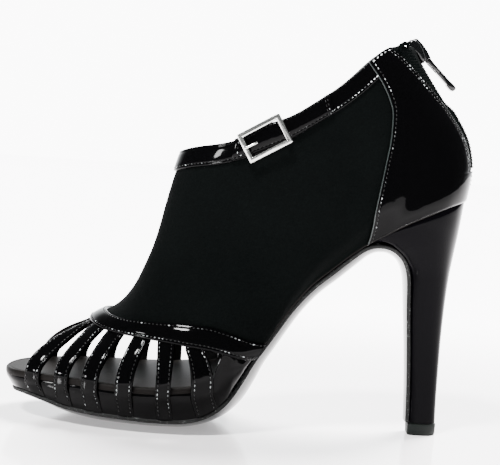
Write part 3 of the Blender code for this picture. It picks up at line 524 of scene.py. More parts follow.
@dataclass(frozen=True)
class Speckled:
    """A dark finish with paler places at random in it: pale fibres on a raw edge, or painted glints along a thread.
    """

    name: str
    colour: tuple[float, float, float]
    fleck: tuple[float, float, float]
    rough: float
    size: float
    share: float

    def build(self) -> bpy.types.Material:
        """The material."""
        material, shader = shader_of(self.name)
        nodes, links = material.node_tree.nodes, material.node_tree.links
        noise = noise_of(material, self.size, 2.0)
        # The pale colour is real fibre on the sole's edge, and painted glints on the threads.
        ramp = nodes.new("ShaderNodeValToRGB")
        ramp.color_ramp.elements[0].position = self.share
        ramp.color_ramp.elements[1].position = self.share + 0.1
        ramp.color_ramp.elements[0].color = (*self.colour, 1)
        ramp.color_ramp.elements[1].color = (*self.fleck, 1)
        links.new(noise.outputs["Fac"], ramp.inputs["Fac"])
        links.new(ramp.outputs["Color"], shader.inputs["Base Color"])
        shader.inputs["Roughness"].default_value = self.rough
        shader.inputs["Specular IOR Level"].default_value = 0.2
        link_bump(material, shader, noise.outputs["Fac"], 0.5, 0.0003)
        return material


class Finish(Enum):
    """The finishes of the shoe."""

    PATENT = Patent()
    HEEL_COVER = Patent("heel_patent", (0.0011, 0.0010, 0.0014), 0.07, 0.10, 0.022)
    SUEDE = Suede()
    LINING = Plain("lining_leather", (0.0020, 0.0020, 0.0020), 0.6, grain=0.2, specular=0.1)
    FOOTBED = Plain("footbed_leather", (0.0046, 0.0040, 0.0037), 0.5, grain=0.3, specular=0.03)
    SOLE = Plain("sole_leather", (0.0030, 0.0030, 0.0034), 0.14, grain=0.05, specular=0.08)
    EDGE = Speckled("sole_edge", (0.0010, 0.0012, 0.0011), (0.05, 0.055, 0.052), 0.7, 1100.0, 0.62)
    RUBBER = Plain("lift_rubber", (0.0032, 0.0046, 0.0040), 0.6, grain=0.3, specular=0.12)
    NICKEL = Plain("buckle_nickel", (0.5, 0.51, 0.49), 0.17, metal=1.0, grain=0.08, grain_size=250.0)
    ZIP_METAL = Plain("zip_enamel", (0.0012, 0.0014, 0.0015), 0.12, coat=0.2, specular=0.15)
    TAPE = Plain("zip_tape_cloth", (0.0014, 0.0019, 0.0018), 0.95, grain=0.7, grain_size=1400.0, specular=0.0)
    # Threads: black, with painted glints in their pale places.
    THREAD = Speckled("thread", (0.0010, 0.0012, 0.0012), (0.26, 0.28, 0.28), 0.4, 240.0, 0.54)
    # The same black thread as a lit copy, with more and brighter painted highlights.
    THREAD_PAINTED_HIGHLIGHTS = Speckled("thread_painted_highlights", (0.02, 0.022, 0.022), (0.6, 0.62, 0.62), 0.4, 160.0, 0.42)
    TRIM = Plain("edge_line", (0.0070, 0.0105, 0.0100), 0.35, specular=0.3)

    @property
    def material(self) -> bpy.types.Material:
        """The built material, made at its first use."""
        return bpy.data.materials.get(self.value.name) or self.value.build()


# Stitches

@dataclass
class StitchRows:
    """Rows of stitches that follow paths, made by Geometry Nodes."""

    pitch: float = 1.9
    length: float = 1.1
    radius: float = 0.24
    paths: dict[str, list[np.ndarray]] = field(default_factory=dict)

    def add(self, path: np.ndarray, finish: Finish = Finish.THREAD) -> None:
        """Keeps a path, in millimetres, for a row."""
        self.paths.setdefault(finish.name, []).append(np.asarray(path))

    def tree(self, finish: Finish) -> bpy.types.NodeTree:
        """The node tree that sets stitches along an edge path."""
        tree = bpy.data.node_groups.new("stitch_row_" + finish.value.name, "GeometryNodeTree")
        face = tree.interface
        face.new_socket("Geometry", in_out="INPUT", socket_type="NodeSocketGeometry")
        for name in ("Pitch", "Length", "Radius"):
            face.new_socket(name, in_out="INPUT", socket_type="NodeSocketFloat")
        face.new_socket("Geometry", in_out="OUTPUT", socket_type="NodeSocketGeometry")
        new, link = tree.nodes.new, tree.links.new
        start, end = new("NodeGroupInput"), new("NodeGroupOutput")
        curve, resample = new("GeometryNodeMeshToCurve"), new("GeometryNodeResampleCurve")
        resample.mode = "LENGTH"
        ball, shape = new("GeometryNodeMeshUVSphere"), new("GeometryNodeTransform")
        ball.inputs["Segments"].default_value, ball.inputs["Rings"].default_value = 8, 5
        ball.inputs["Radius"].default_value = 1.0
        size = new("ShaderNodeCombineXYZ")
        tangent, turn = new("GeometryNodeInputTangent"), new("FunctionNodeAlignRotationToVector")
        turn.axis = "X"
        place, real, paint = (new("GeometryNodeInstanceOnPoints"), new("GeometryNodeRealizeInstances"),
                              new("GeometryNodeSetMaterial"))
        paint.inputs["Material"].default_value = finish.material
        link(start.outputs["Geometry"], curve.inputs["Mesh"])
        link(curve.outputs["Curve"], resample.inputs["Curve"])
        link(start.outputs["Pitch"], resample.inputs["Length"])
        link(start.outputs["Length"], size.inputs["X"])
        link(start.outputs["Radius"], size.inputs["Y"])
        link(start.outputs["Radius"], size.inputs["Z"])
        link(ball.outputs["Mesh"], shape.inputs["Geometry"])
        link(size.outputs["Vector"], shape.inputs["Scale"])
        link(tangent.outputs["Tangent"], turn.inputs["Vector"])
        link(resample.outputs["Curve"], place.inputs["Points"])
        link(shape.outputs["Geometry"], place.inputs["Instance"])
        link(turn.outputs["Rotation"], place.inputs["Rotation"])
        link(place.outputs["Instances"], real.inputs["Geometry"])
        link(real.outputs["Geometry"], paint.inputs["Geometry"])
        link(paint.outputs["Geometry"], end.inputs["Geometry"])
        return tree

    def build(self, name: str, body: str) -> None:
        """Makes one plain mesh of stitches for each thread."""
        for thread, paths in self.paths.items():
            finish = Finish[thread]
            points = np.concatenate(paths) * MM
            edges, count = [], 0
            for path in paths:
                edges += [(count + i, count + i + 1) for i in range(len(path) - 1)]
                count += len(path)
            carrier = bpy.data.meshes.new(name)
            carrier.from_pydata(points.tolist(), edges, [])
            thing = bpy.data.objects.new(f"{name}_{thread.lower()}", carrier)
            bpy.context.scene.collection.objects.link(thing)
            modifier = thing.modifiers.new("rows", "NODES")
            modifier.node_group = self.tree(finish)
            sizes = {"Pitch": self.pitch, "Length": self.length / 2, "Radius": self.radius}
            for item in modifier.node_group.interface.items_tree:
                if item.in_out == "INPUT" and item.name in sizes:
                    modifier[item.identifier] = sizes[item.name] * MM
            graph = bpy.context.evaluated_depsgraph_get()
            plain = bpy.data.meshes.new_from_object(thing.evaluated_get(graph))
            thing.modifiers.clear()
            thing.data = plain
            plain.shade_smooth()
            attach(thing, body)
            log.info("%s: %d faces", thing.name, len(plain.polygons))


STITCHES = StitchRows()


# Sole, platform, footbed

class Bed:
    """A plate that follows a path in side view, with its own outline."""

    def __init__(self, rows: list[tuple], soft: float = 1.5) -> None:
        """Builds curves along the path's length."""
        xs, zs = np.array([r[0] for r in rows]), np.array([r[1] for r in rows])
        s = np.concatenate([[0], np.cumsum(np.hypot(np.diff(xs), np.diff(zs)))])
        table = [(s[i], *rows[i]) for i in range(len(rows))]
        self.length = float(s[-1])
        self.x, self.z = Track(table, 1, soft), Track(table, 2, soft)
        self.left, self.right = (Track(table, c, soft, squared=True) for c in (3, 4))
        self.crown = Track(table, 5, 3 * soft) if len(rows[0]) > 4 else None

    def station_at(self, x: float) -> float:
        """The length along the path at which it first reaches x."""
        return float(np.interp(x, self.x.values, self.x.at))

    def outline(self, start: float, end: float, count: int, closed_end: bool = True) -> np.ndarray:
        """Pairs of (s, y) down both sides: shape (count, 2, 2)."""
        t = np.linspace(0, 1, count)
        t = (1 - np.cos(math.pi * t)) / 2 if closed_end else 1 - np.cos(math.pi * t / 2)
        s = start + (0.35 * t + 0.65 * np.linspace(0, 1, count) ** 1.3) * (end - start)
        left, right = self.left(s), self.right(s)
        return np.stack([np.stack([s, -left], -1), np.stack([s, right], -1)], axis=1)

    def inset(self, pairs: np.ndarray, by: float) -> np.ndarray:
        """Moves an outline inward in its own surface."""
        loop = np.concatenate([pairs[::-1, 0], pairs[:, 1]])
        ahead, behind = np.roll(loop, -1, 0), np.roll(loop, 1, 0)
        ahead[-1], behind[0] = loop[-1], loop[0]
        along = unit(ahead - behind)
        loop = loop + np.stack([along[:, 1], -along[:, 0]], -1) * by
        n = len(pairs)
        left, right = loop[:n][::-1].copy(), loop[n:].copy()
        left[:, 1], right[:, 1] = np.minimum(left[:, 1], 0), np.maximum(right[:, 1], 0)
        return np.stack([left, right], axis=1)

    def place(self, s: np.ndarray, y: np.ndarray, up: np.ndarray) -> np.ndarray:
        """Points at a length along the path, a width and a height over the surface."""
        s = np.asarray(s, float)
        s0, s1 = np.clip(s - 0.6, 0, self.length), np.clip(s + 0.6, 0, self.length)
        tx, tz = self.x(s1) - self.x(s0), self.z(s1) - self.z(s0)
        size = np.maximum(np.hypot(tx, tz), 1e-6)
        tx, tz = tx / size, tz / size
        over = s - np.clip(s, 0, self.length)
        x = self.x(s) - tz * up + tx * over
        z = self.z(s) + tx * up + tz * over
        return np.stack([x, np.broadcast_to(y, x.shape), z], -1)

    def plate(self, pairs: np.ndarray, profile: list[tuple[float, float, int]], columns: int = 17,
              floor: float | None = None) -> tuple[np.ndarray, list[tuple], list[int]]:
        """A closed plate: its edge follows a profile of (inset, height, material), its faces are filled.

        Args:
            pairs: the outline.
            profile: from the lower face's rim, round the edge, to the upper face's rim.
            columns: points across each face.
            floor: lowest height that the lower face keeps to.

        Returns:
            Points, faces and material slots.
        """
        n = len(pairs)
        points, faces, slots = [], [], []
        loops = []
        for inset, up, _ in profile:
            p = self.inset(pairs, inset)
            left, right = self.place(p[:, 0, 0], p[:, 0, 1], up), self.place(p[:, 1, 0], p[:, 1, 1], up)
            loops.append((left, right))
            points += list(left) + list(right)
        for k in range(len(profile) - 1):
            a, b = 2 * n * k, 2 * n * (k + 1)
            for half in (0, n):
                for i in range(n - 1):
                    faces.append((a + half + i, a + half + i + 1, b + half + i + 1, b + half + i))
                    slots.append(profile[k][2])
            for i in (0, n - 1):
                faces.append((a + i, a + n + i, b + n + i, b + i))
                slots.append(profile[k][2])
        for which in (0, len(profile) - 1):
            p = self.inset(pairs, profile[which][0])
            t = np.linspace(-1, 1, columns)[1:-1]
            start = len(points)
            rows = []
            for i in range(n):
                y = (p[i, 0, 1] + p[i, 1, 1]) / 2 + t * (p[i, 1, 1] - p[i, 0, 1]) / 2
                s = p[i, 0, 0] + (t + 1) / 2 * (p[i, 1, 0] - p[i, 0, 0])
                up = np.full(len(t), profile[which][1])
                if self.crown is not None:
                    up = up - self.crown(s) * (1 - np.abs(t) ** 2.2)
                row = self.place(s, y, up)
                if floor is not None:
                    row[:, 2] = np.where((row[:, 0] < 0), np.maximum(row[:, 2], floor if which == 0 else floor + 2.2),
                                         row[:, 2])
                points += list(row)
                a = 2 * n * which
                rows.append([a + i] + list(range(start + i * len(t), start + (i + 1) * len(t))) + [a + n + i])
            for i in range(n - 1):
                for j in range(len(t) + 1):
                    face = (rows[i][j], rows[i][j + 1], rows[i + 1][j + 1], rows[i + 1][j])
                    faces.append(face if which else face[::-1])
                    slots.append(profile[which][2] if which == 0 else profile[-1][2])
        fixed = []
        seen_slots = []
        for face, slot in zip(faces, slots):
            ring = list(dict.fromkeys(face))
            if len(ring) > 2:
                fixed.append(tuple(ring))
                seen_slots.append(slot)
        return np.array(points), fixed, seen_slots


def tidy_normals(thing: bpy.types.Object) -> None:
    """Merges doubles and turns all faces of a closed shell outward."""
    shape = bmesh.new()
    shape.from_mesh(thing.data)
    bmesh.ops.remove_doubles(shape, verts=shape.verts, dist=1e-6)
    bmesh.ops.recalc_face_normals(shape, faces=shape.faces)
    shape.to_mesh(thing.data)
    shape.free()


@dataclass
class Sole:
    """Outsole with the flap down the heel breast, covered platform, footbed and insole."""

    wall: float = 2.2
    flap_wall: float = 1.2

    def outsole(self) -> None:
        """The leather sole: glossy below, raw at its edge."""
        bed = Bed(OUTSOLE)
        pairs = bed.outline(0.0, bed.length, 190, closed_end=False)
        w = 1.9
        profile = [(1.0, -w, 0), (0.35, -w + 0.1, 1), (0.05, -w + 0.5, 1), (0.0, -0.9, 1), (0.05, -0.4, 1),
                   (0.4, -0.05, 1), (1.0, 0.0, 1)]
        points, faces, slots = bed.plate(pairs, profile, 25, floor=0.0)
        thing = piece("sole_leather", points, faces, [Finish.SOLE.material, Finish.EDGE.material], slots)
        tidy_normals(thing)
        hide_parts("outsole")
        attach(thing, "shoe")
        log.info("outsole")

    def platform(self) -> None:
        """The platform under the footbed, wrapped in patent leather and flush with the footbed's rim."""
        low, high = Bed(OUTSOLE), Bed(INSOLE)
        count = 150
        foot_pairs = low.outline(0.0, low.station_at(2.5), count, closed_end=False)
        head_pairs = high.outline(0.0, high.station_at(-1.5), count, closed_end=False)
        loops = []
        for share, foot_inset, head_inset in (
                (0.0, 2.6, 0.0), (0.0, 0.7, 0.0), (0.05, 0.35, 0.2), (0.3, 0.3, -0.1), (0.6, 0.3, -0.3),
                (0.88, 0.4, -0.3), (1.0, 0.4, 0.2), (1.0, 0.4, 1.6)):
            foot, head = low.inset(foot_pairs, foot_inset), high.inset(head_pairs, head_inset)
            ring = []
            for column in (0, 1):
                bottom = low.place(foot[:, column, 0], foot[:, column, 1], -0.45)
                lid = high.place(head[:, column, 0], head[:, column, 1], -2.9)
                ring.append(bottom * (1 - share) + lid * share)
            loops.append(ring)
        points = np.concatenate([np.concatenate(r) for r in loops])
        faces = []
        for k in range(len(loops) - 1):
            a, b = 2 * count * k, 2 * count * (k + 1)
            for half in (0, count):
                faces += [(a + half + i, a + half + i + 1, b + half + i + 1, b + half + i) for i in range(count - 1)]
            faces += [(a + i, a + count + i, b + count + i, b + i) for i in (0, count - 1)]
        for k in (0, len(loops) - 1):
            a = 2 * count * k
            faces += [(a + i, a + i + 1, a + count + i + 1, a + count + i) for i in range(count - 1)]
        thing = piece("platform_cover", points, faces, [Finish.PATENT.material])
        tidy_normals(thing)
        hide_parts("platform")
        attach(thing, "shoe")
        log.info("platform")

    def footbed(self) -> None:
        """The footbed with its rolled rim, running back as the insole."""
        bed = Bed(INSOLE)
        pairs = bed.outline(0.0, bed.length, 200)
        x = bed.x(pairs[:, 0, 0])
        into_wall = ease((x - 4) / 8) * (3.5 - 0.9 * ease((x - 14) / 10)) * ease(pairs[:, 1, 1] / 8)
        pairs[:, 0, 1] -= into_wall
        pairs[:, 1, 1] += into_wall
        profile = [(1.0, -3.3, 0), (0.45, -3.2, 0), (0.12, -2.7, 0), (0.0, -1.9, 0), (0.02, -1.2, 0),
                   (0.25, -0.5, 0), (0.7, -0.1, 0), (1.2, -0.02, 0), (1.7, -0.28, 0), (2.2, -0.3, 0), (2.9, -0.1, 0)]
        points, faces, slots = bed.plate(pairs, profile, 21)
        thing = piece("footbed", points, faces, [Finish.FOOTBED.material], slots)
        tidy_normals(thing)
        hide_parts("insole")
        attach(thing, "shoe")
        log.info("footbed")

    def build(self) -> None:
        """All the pieces under the foot."""
        self.outsole()
        self.platform()
        self.footbed()


@dataclass
class Heel:
    """The covered heel and its top lift."""

    rings: int = 70

    def section_plan(self, count: int) -> np.ndarray:
        """Shares of length and half width round one half of a section."""
        a, w = np.array([p[0] for p in HEEL_PLAN]), np.array([p[1] for p in HEEL_PLAN])
        s = np.concatenate([[0], np.cumsum(np.hypot(np.diff(a), np.diff(w)))])
        rows_a, rows_w = Track(list(zip(s, a)), 1, 0.05), Track(list(zip(s, w)), 1, 0.05)
        t = np.linspace(0, s[-1], count)
        plan = np.stack([rows_a(t), rows_w(t)], -1)
        plan[0], plan[-1] = (0.0, 0.0), (1.0, 0.0)
        return np.maximum(plan, 0.0)

    def build(self) -> None:
        """The cover, from the tip up to the seat, and the rubber lift."""
        key = [(r[3], *r) for r in HEEL]
        tracks = [Track(key, c, 2.0) for c in range(1, 6)]
        plan = self.section_plan(17)
        sole = Bed(OUTSOLE)
        points = []
        for level in np.linspace(0, 1, self.rings) ** 0.85:
            z = HEEL[0][3] + level * (HEEL[-1][3] - HEEL[0][3])
            fx, fz, bx, bz, half = (float(t(z)) for t in tracks)
            half *= 1 - 0.06 * ease((level - 0.965) / 0.035)
            top, blunt = ease((z - 92) / 18), ease((z - 76) / 9)
            s = sole.station_at(fx) if fz > 60 else sole.length - max(fz - 6.2, 0.0)
            here, ahead = sole.place(np.array([s, s + 1.0]).clip(0, sole.length), np.zeros(2), np.zeros(2))
            slope = unit(ahead - here)
            sink = np.array([slope[2], 0.0, -slope[0]]) if s < sole.length - 1 else np.array([-1.0, 0.0, 0.0])
            crown = float(sole.crown(s))
            ring = []
            for side in SIDES:
                for a, w in (plan if side < 0 else plan[-2:0:-1]):
                    w = w ** (1 - 0.8 * blunt * (a < 0.5)) if w > 0 else w
                    x, zz = fx + a * (bx - fx), fz + a * (bz - fz)
                    zz = (1 - top) * zz + top * min(zz + 3.0, float(SHAFT.base_z(x)) - 0.4)
                    down = (crown * (1 - w ** 2.2) + 0.35) * (1 - a) ** 10
                    ring.append((x + sink[0] * down, side * w * half, zz + sink[2] * down))
            points.append(ring)
        count = len(points[0])
        flat = np.array(points).reshape(-1, 3)
        faces = [(r * count + c, r * count + (c + 1) % count, (r + 1) * count + (c + 1) % count, (r + 1) * count + c)
                 for r in range(self.rings - 1) for c in range(count)]
        half = len(plan) - 1
        for r in (0, self.rings - 1):
            for c in range(half):
                cap = dict.fromkeys([c, c + 1, (count - c - 1) % count, (count - c) % count])
                faces.append(tuple(r * count + i for i in cap))
        cover = piece("heel_cover", flat, faces, [Finish.HEEL_COVER.material], crease=50)
        tidy_normals(cover)
        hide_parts("heel")
        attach(cover, "shoe")

        fx, bx, wide = HEEL[0][0] - 0.75, HEEL[0][2], HEEL[0][4]
        levels = ((0.0, -0.35), (0.12, 0.0), (0.5, 0.2), (2.5, 0.3), (4.9, 0.35), (5.3, 0.25), (5.5, -0.1))
        points = []
        for z, grow in levels:
            for side in SIDES:
                for a, w in (plan if side < 0 else plan[-2:0:-1]):
                    points.append((fx - grow + a * (bx - fx + 2 * grow), side * w * (wide + grow), z))
        faces = [(r * count + c, r * count + (c + 1) % count, (r + 1) * count + (c + 1) % count, (r + 1) * count + c)
                 for r in range(len(levels) - 1) for c in range(count)]
        faces += [tuple(range(count)), tuple((len(levels) - 1) * count + c for c in range(count))]
        lift = piece("top_lift_rubber", np.array(points), faces, [Finish.RUBBER.material])
        tidy_normals(lift)
        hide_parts("top_lift")
        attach(lift, "shoe")
        log.info("heel and top lift")


# Cage

class Cage:
    """Straps over the toes, the closed panel behind them and the band that holds them."""

    def __init__(self) -> None:
        """Builds the curves of the cage."""
        self.band_z, self.band_half = Track(BAND, 1, 1.0), Track(BAND, 2, 1.2, squared=True)
        self.bed = Bed(INSOLE)
        self.sole_z = Track(OUTSOLE[:25], 1, 1.0)
        self.sole_half = [Track(OUTSOLE[:25], c, 1.0, squared=True) for c in (2, 3)]
        self.bed_z = Track(INSOLE, 1, 1.0)
        self.bed_half = [Track(INSOLE, c, 1.0, squared=True) for c in (2, 3)]

    def strap_edge(self, at: tuple[float, ...], side: int, slack: float) -> np.ndarray:
        """Points along a strap at one place across it, from the outsole to under the band.

        Args:
            at: x at the outsole, at the footbed, under the band, on the band's top, and the rise.
            side: -1 for the outer side.
            slack: how much further out it stands at the footbed.

        Returns:
            Smooth points up the strap.
        """
        sole_x, bed_x, low_x, top_x, rise = at
        half = float(self.bed_half[side > 0](bed_x)) + WALL + FIT + slack
        hem_z = float(self.sole_z(sole_x)) + FIT
        hem = np.array([sole_x, side * (float(self.sole_half[side > 0](sole_x)) + 0.2), hem_z])
        top = np.array([low_x, side * float(self.band_half(low_x)), float(self.band_z(low_x))])
        over = SHAFT.skin((top_x - BASE[0][0]) / (BASE[-1][0] - BASE[0][0]), 0.0, side)
        bed_z = float(self.bed_z(bed_x))
        bed = np.array([bed_x, side * half, bed_z + 0.4])
        rim = np.array([bed_x, side * half, bed_z - 3.7])
        middle = np.array([(sole_x + bed_x) / 2, side * (half - 1.1), (hem_z + rim[2]) / 2])
        rise_to = bed + np.array([0, 0, rise * (top[2] - bed[2])])
        bends = [(1 - t) ** 2 * bed + 2 * t * (1 - t) * rise_to + t * t * top for t in (0.25, 0.5, 0.75)]
        knots = np.array([hem, middle, rim, bed] + bends + [top, (top + over) / 2])
        s = np.concatenate([[0], np.cumsum(np.linalg.norm(np.diff(knots, axis=0), axis=1))])
        s = s / s[-1]
        tracks = [Track([(s[i], knots[i][k]) for i in range(len(s))], 1, 0.018) for k in range(3)]
        t = np.linspace(0, 1, 40)
        return np.stack([track(t) for track in tracks], -1)

    def strap(self, first: int, side: int) -> tuple[np.ndarray, list[tuple], list[int]]:
        """One patent strap with turned, stitched edges."""
        left, right = EDGES[first], EDGES[first + 1]
        width = abs(right[1] - left[1])
        d = across(width, 3, seam=1.15)
        slack = 0.9 if first + 1 > PANEL - 3 else 0.0
        lines = []
        for share in d / width:
            at = tuple(left[k] * (1 - share) + right[k] * share for k in range(5))
            lines.append(self.strap_edge(at, side, slack))
        skin = np.array(lines).transpose(1, 0, 2)
        along, over = np.gradient(skin, axis=0), np.gradient(skin, axis=1)
        out = unit(np.cross(over, along)) * (1 if side < 0 else -1)
        true_width = np.linalg.norm(skin[:, -1] - skin[:, 0], axis=1)
        top = np.array([leather_top(d / width * w, w, 0.9, (1.15,), 0.15) for w in true_width]) - 0.9
        for share_mm in (1.15, -1.15):
            path = []
            for r in range(2, len(skin) - 1):
                w = true_width[r]
                t = (share_mm if share_mm > 0 else w + share_mm) / w
                t = min(max(t, 0.15), 0.85)
                j = np.interp(t, d / width, np.arange(len(d)))
                k, fr = int(j), j - int(j)
                p = skin[r, k] * (1 - fr) + skin[r, min(k + 1, len(d) - 1)] * fr
                h = top[r, k] * (1 - fr) + top[r, min(k + 1, len(d) - 1)] * fr
                path.append(p + out[r, k] * (h + 0.12))
            STITCHES.add(np.array(path))
        return grid_shell(skin, out, top, np.full(top.shape, -WALL), split=True)

    def panel(self, side: int) -> tuple[np.ndarray, list[tuple], list[int]]:
        """The closed panel between the last strap and the waist."""
        lines = []
        for share in np.linspace(0, 1, 26):
            k = PANEL + share * 3
            i = min(int(k), PANEL + 2)
            fr = k - i
            lines.append(self.panel_line(i, side) * (1 - fr) + self.panel_line(i + 1, side) * fr)
        skin = np.array(lines).transpose(1, 0, 2)
        along, over = np.gradient(skin, axis=0), np.gradient(skin, axis=1)
        out = unit(np.cross(over, along)) * (1 if side < 0 else -1)
        top = np.zeros(skin.shape[:2])
        top[:, 0] = -0.5
        return grid_shell(skin, out, top, top * 0 - WALL, split=True)

    def panel_line(self, edge: int, side: int) -> np.ndarray:
        """Points up one of the panel's lines, the first of which is the last strap's edge."""
        if edge == PANEL:
            return self.strap_edge(EDGES[edge], side, 0.9)
        sole_x, _, low_x, top_x, _ = EDGES[edge]
        hem = np.array([sole_x, side * (float(self.sole_half[side > 0](sole_x)) + 0.2),
                        float(self.sole_z(sole_x)) + FIT])
        top = np.array([low_x, side * float(self.band_half(low_x)), float(self.band_z(low_x))])
        over = SHAFT.skin((top_x - BASE[0][0]) / (BASE[-1][0] - BASE[0][0]), 0.0, side)
        t = np.linspace(0, 1, 40)[:, None]
        low = hem + (top - hem) * np.minimum(t / 0.88, 1.0)
        low[:, 1] += side * 1.8 * np.sin(math.pi * np.minimum(t[:, 0] / 0.88, 1.0)) * (edge < PANEL + 3)
        return low + ((top + over) / 2 - top) * np.maximum((t - 0.88) / 0.12, 0.0)

    def band(self) -> tuple[np.ndarray, list[tuple], list[int]]:
        """The patent band over the straps' upper ends, from waist to waist."""
        low_x = np.array([BAND[0][0]] + [e[2] for e in EDGES])
        top_x = np.array([BASE[0][0]] + [e[3] for e in EDGES])
        knots = np.arange(len(low_x), dtype=float)
        lows, tops = (Track(list(zip(knots, xs)), 1, 0.5) for xs in (low_x, top_x))
        u = np.concatenate([np.linspace(0, 1.2, 14), np.linspace(1.2, knots[-1], 80)[1:]])
        width = 8.6
        d = across(width, 5, seam=1.3)
        rows = []
        for side in (-1, 1):
            line = []
            for k in u:
                xl, xt = float(lows(k)), float(tops(k))
                low = np.array([xl, side * float(self.band_half(xl)), float(self.band_z(xl))])
                top = SHAFT.skin((xt - BASE[0][0]) / (BASE[-1][0] - BASE[0][0]), 0.0, side)
                line.append([low * (1 - t) + top * t + np.array([0, side * 0.5, 0.35]) * 4 * t * (1 - t)
                             for t in d / width])
            rows.append(line)
        skin = np.array(rows[0][::-1] + rows[1][1:])
        along, over = np.gradient(skin, axis=0), np.gradient(skin, axis=1)
        out = unit(np.cross(over, along))
        centre = len(u) - 1
        out *= np.sign(out[centre, :, 2].mean())
        widths = np.linalg.norm(skin[:, -1] - skin[:, 0], axis=1)
        top = np.array([leather_top(d / width * w, w, OVERLAY, (1.3,), 0.2) for w in widths]) + 0.35
        for t in (1.3 / width, 1 - 1.3 / width):
            j = int(round(float(np.interp(t, d / width, np.arange(len(d))))))
            STITCHES.add(skin[:, j] + out[:, j] * (top[:, j] + 0.1)[:, None])
        return grid_shell(skin, out, top, np.full(top.shape, 0.1))

    def build(self) -> None:
        """Straps and panels as one patent piece, and the band over them."""
        parts = [self.strap(first, side) for side in SIDES for first in range(0, PANEL, 2)]
        parts += [self.panel(side) for side in SIDES]
        straps = joined("cage_straps", parts, [Finish.PATENT.material, Finish.LINING.material])
        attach(straps, "shoe")
        band = joined("vamp_band_patent", [self.band()], [Finish.PATENT.material])
        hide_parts("vamp_band")
        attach(band, "shoe")
        log.info("cage and vamp band")


# Leg

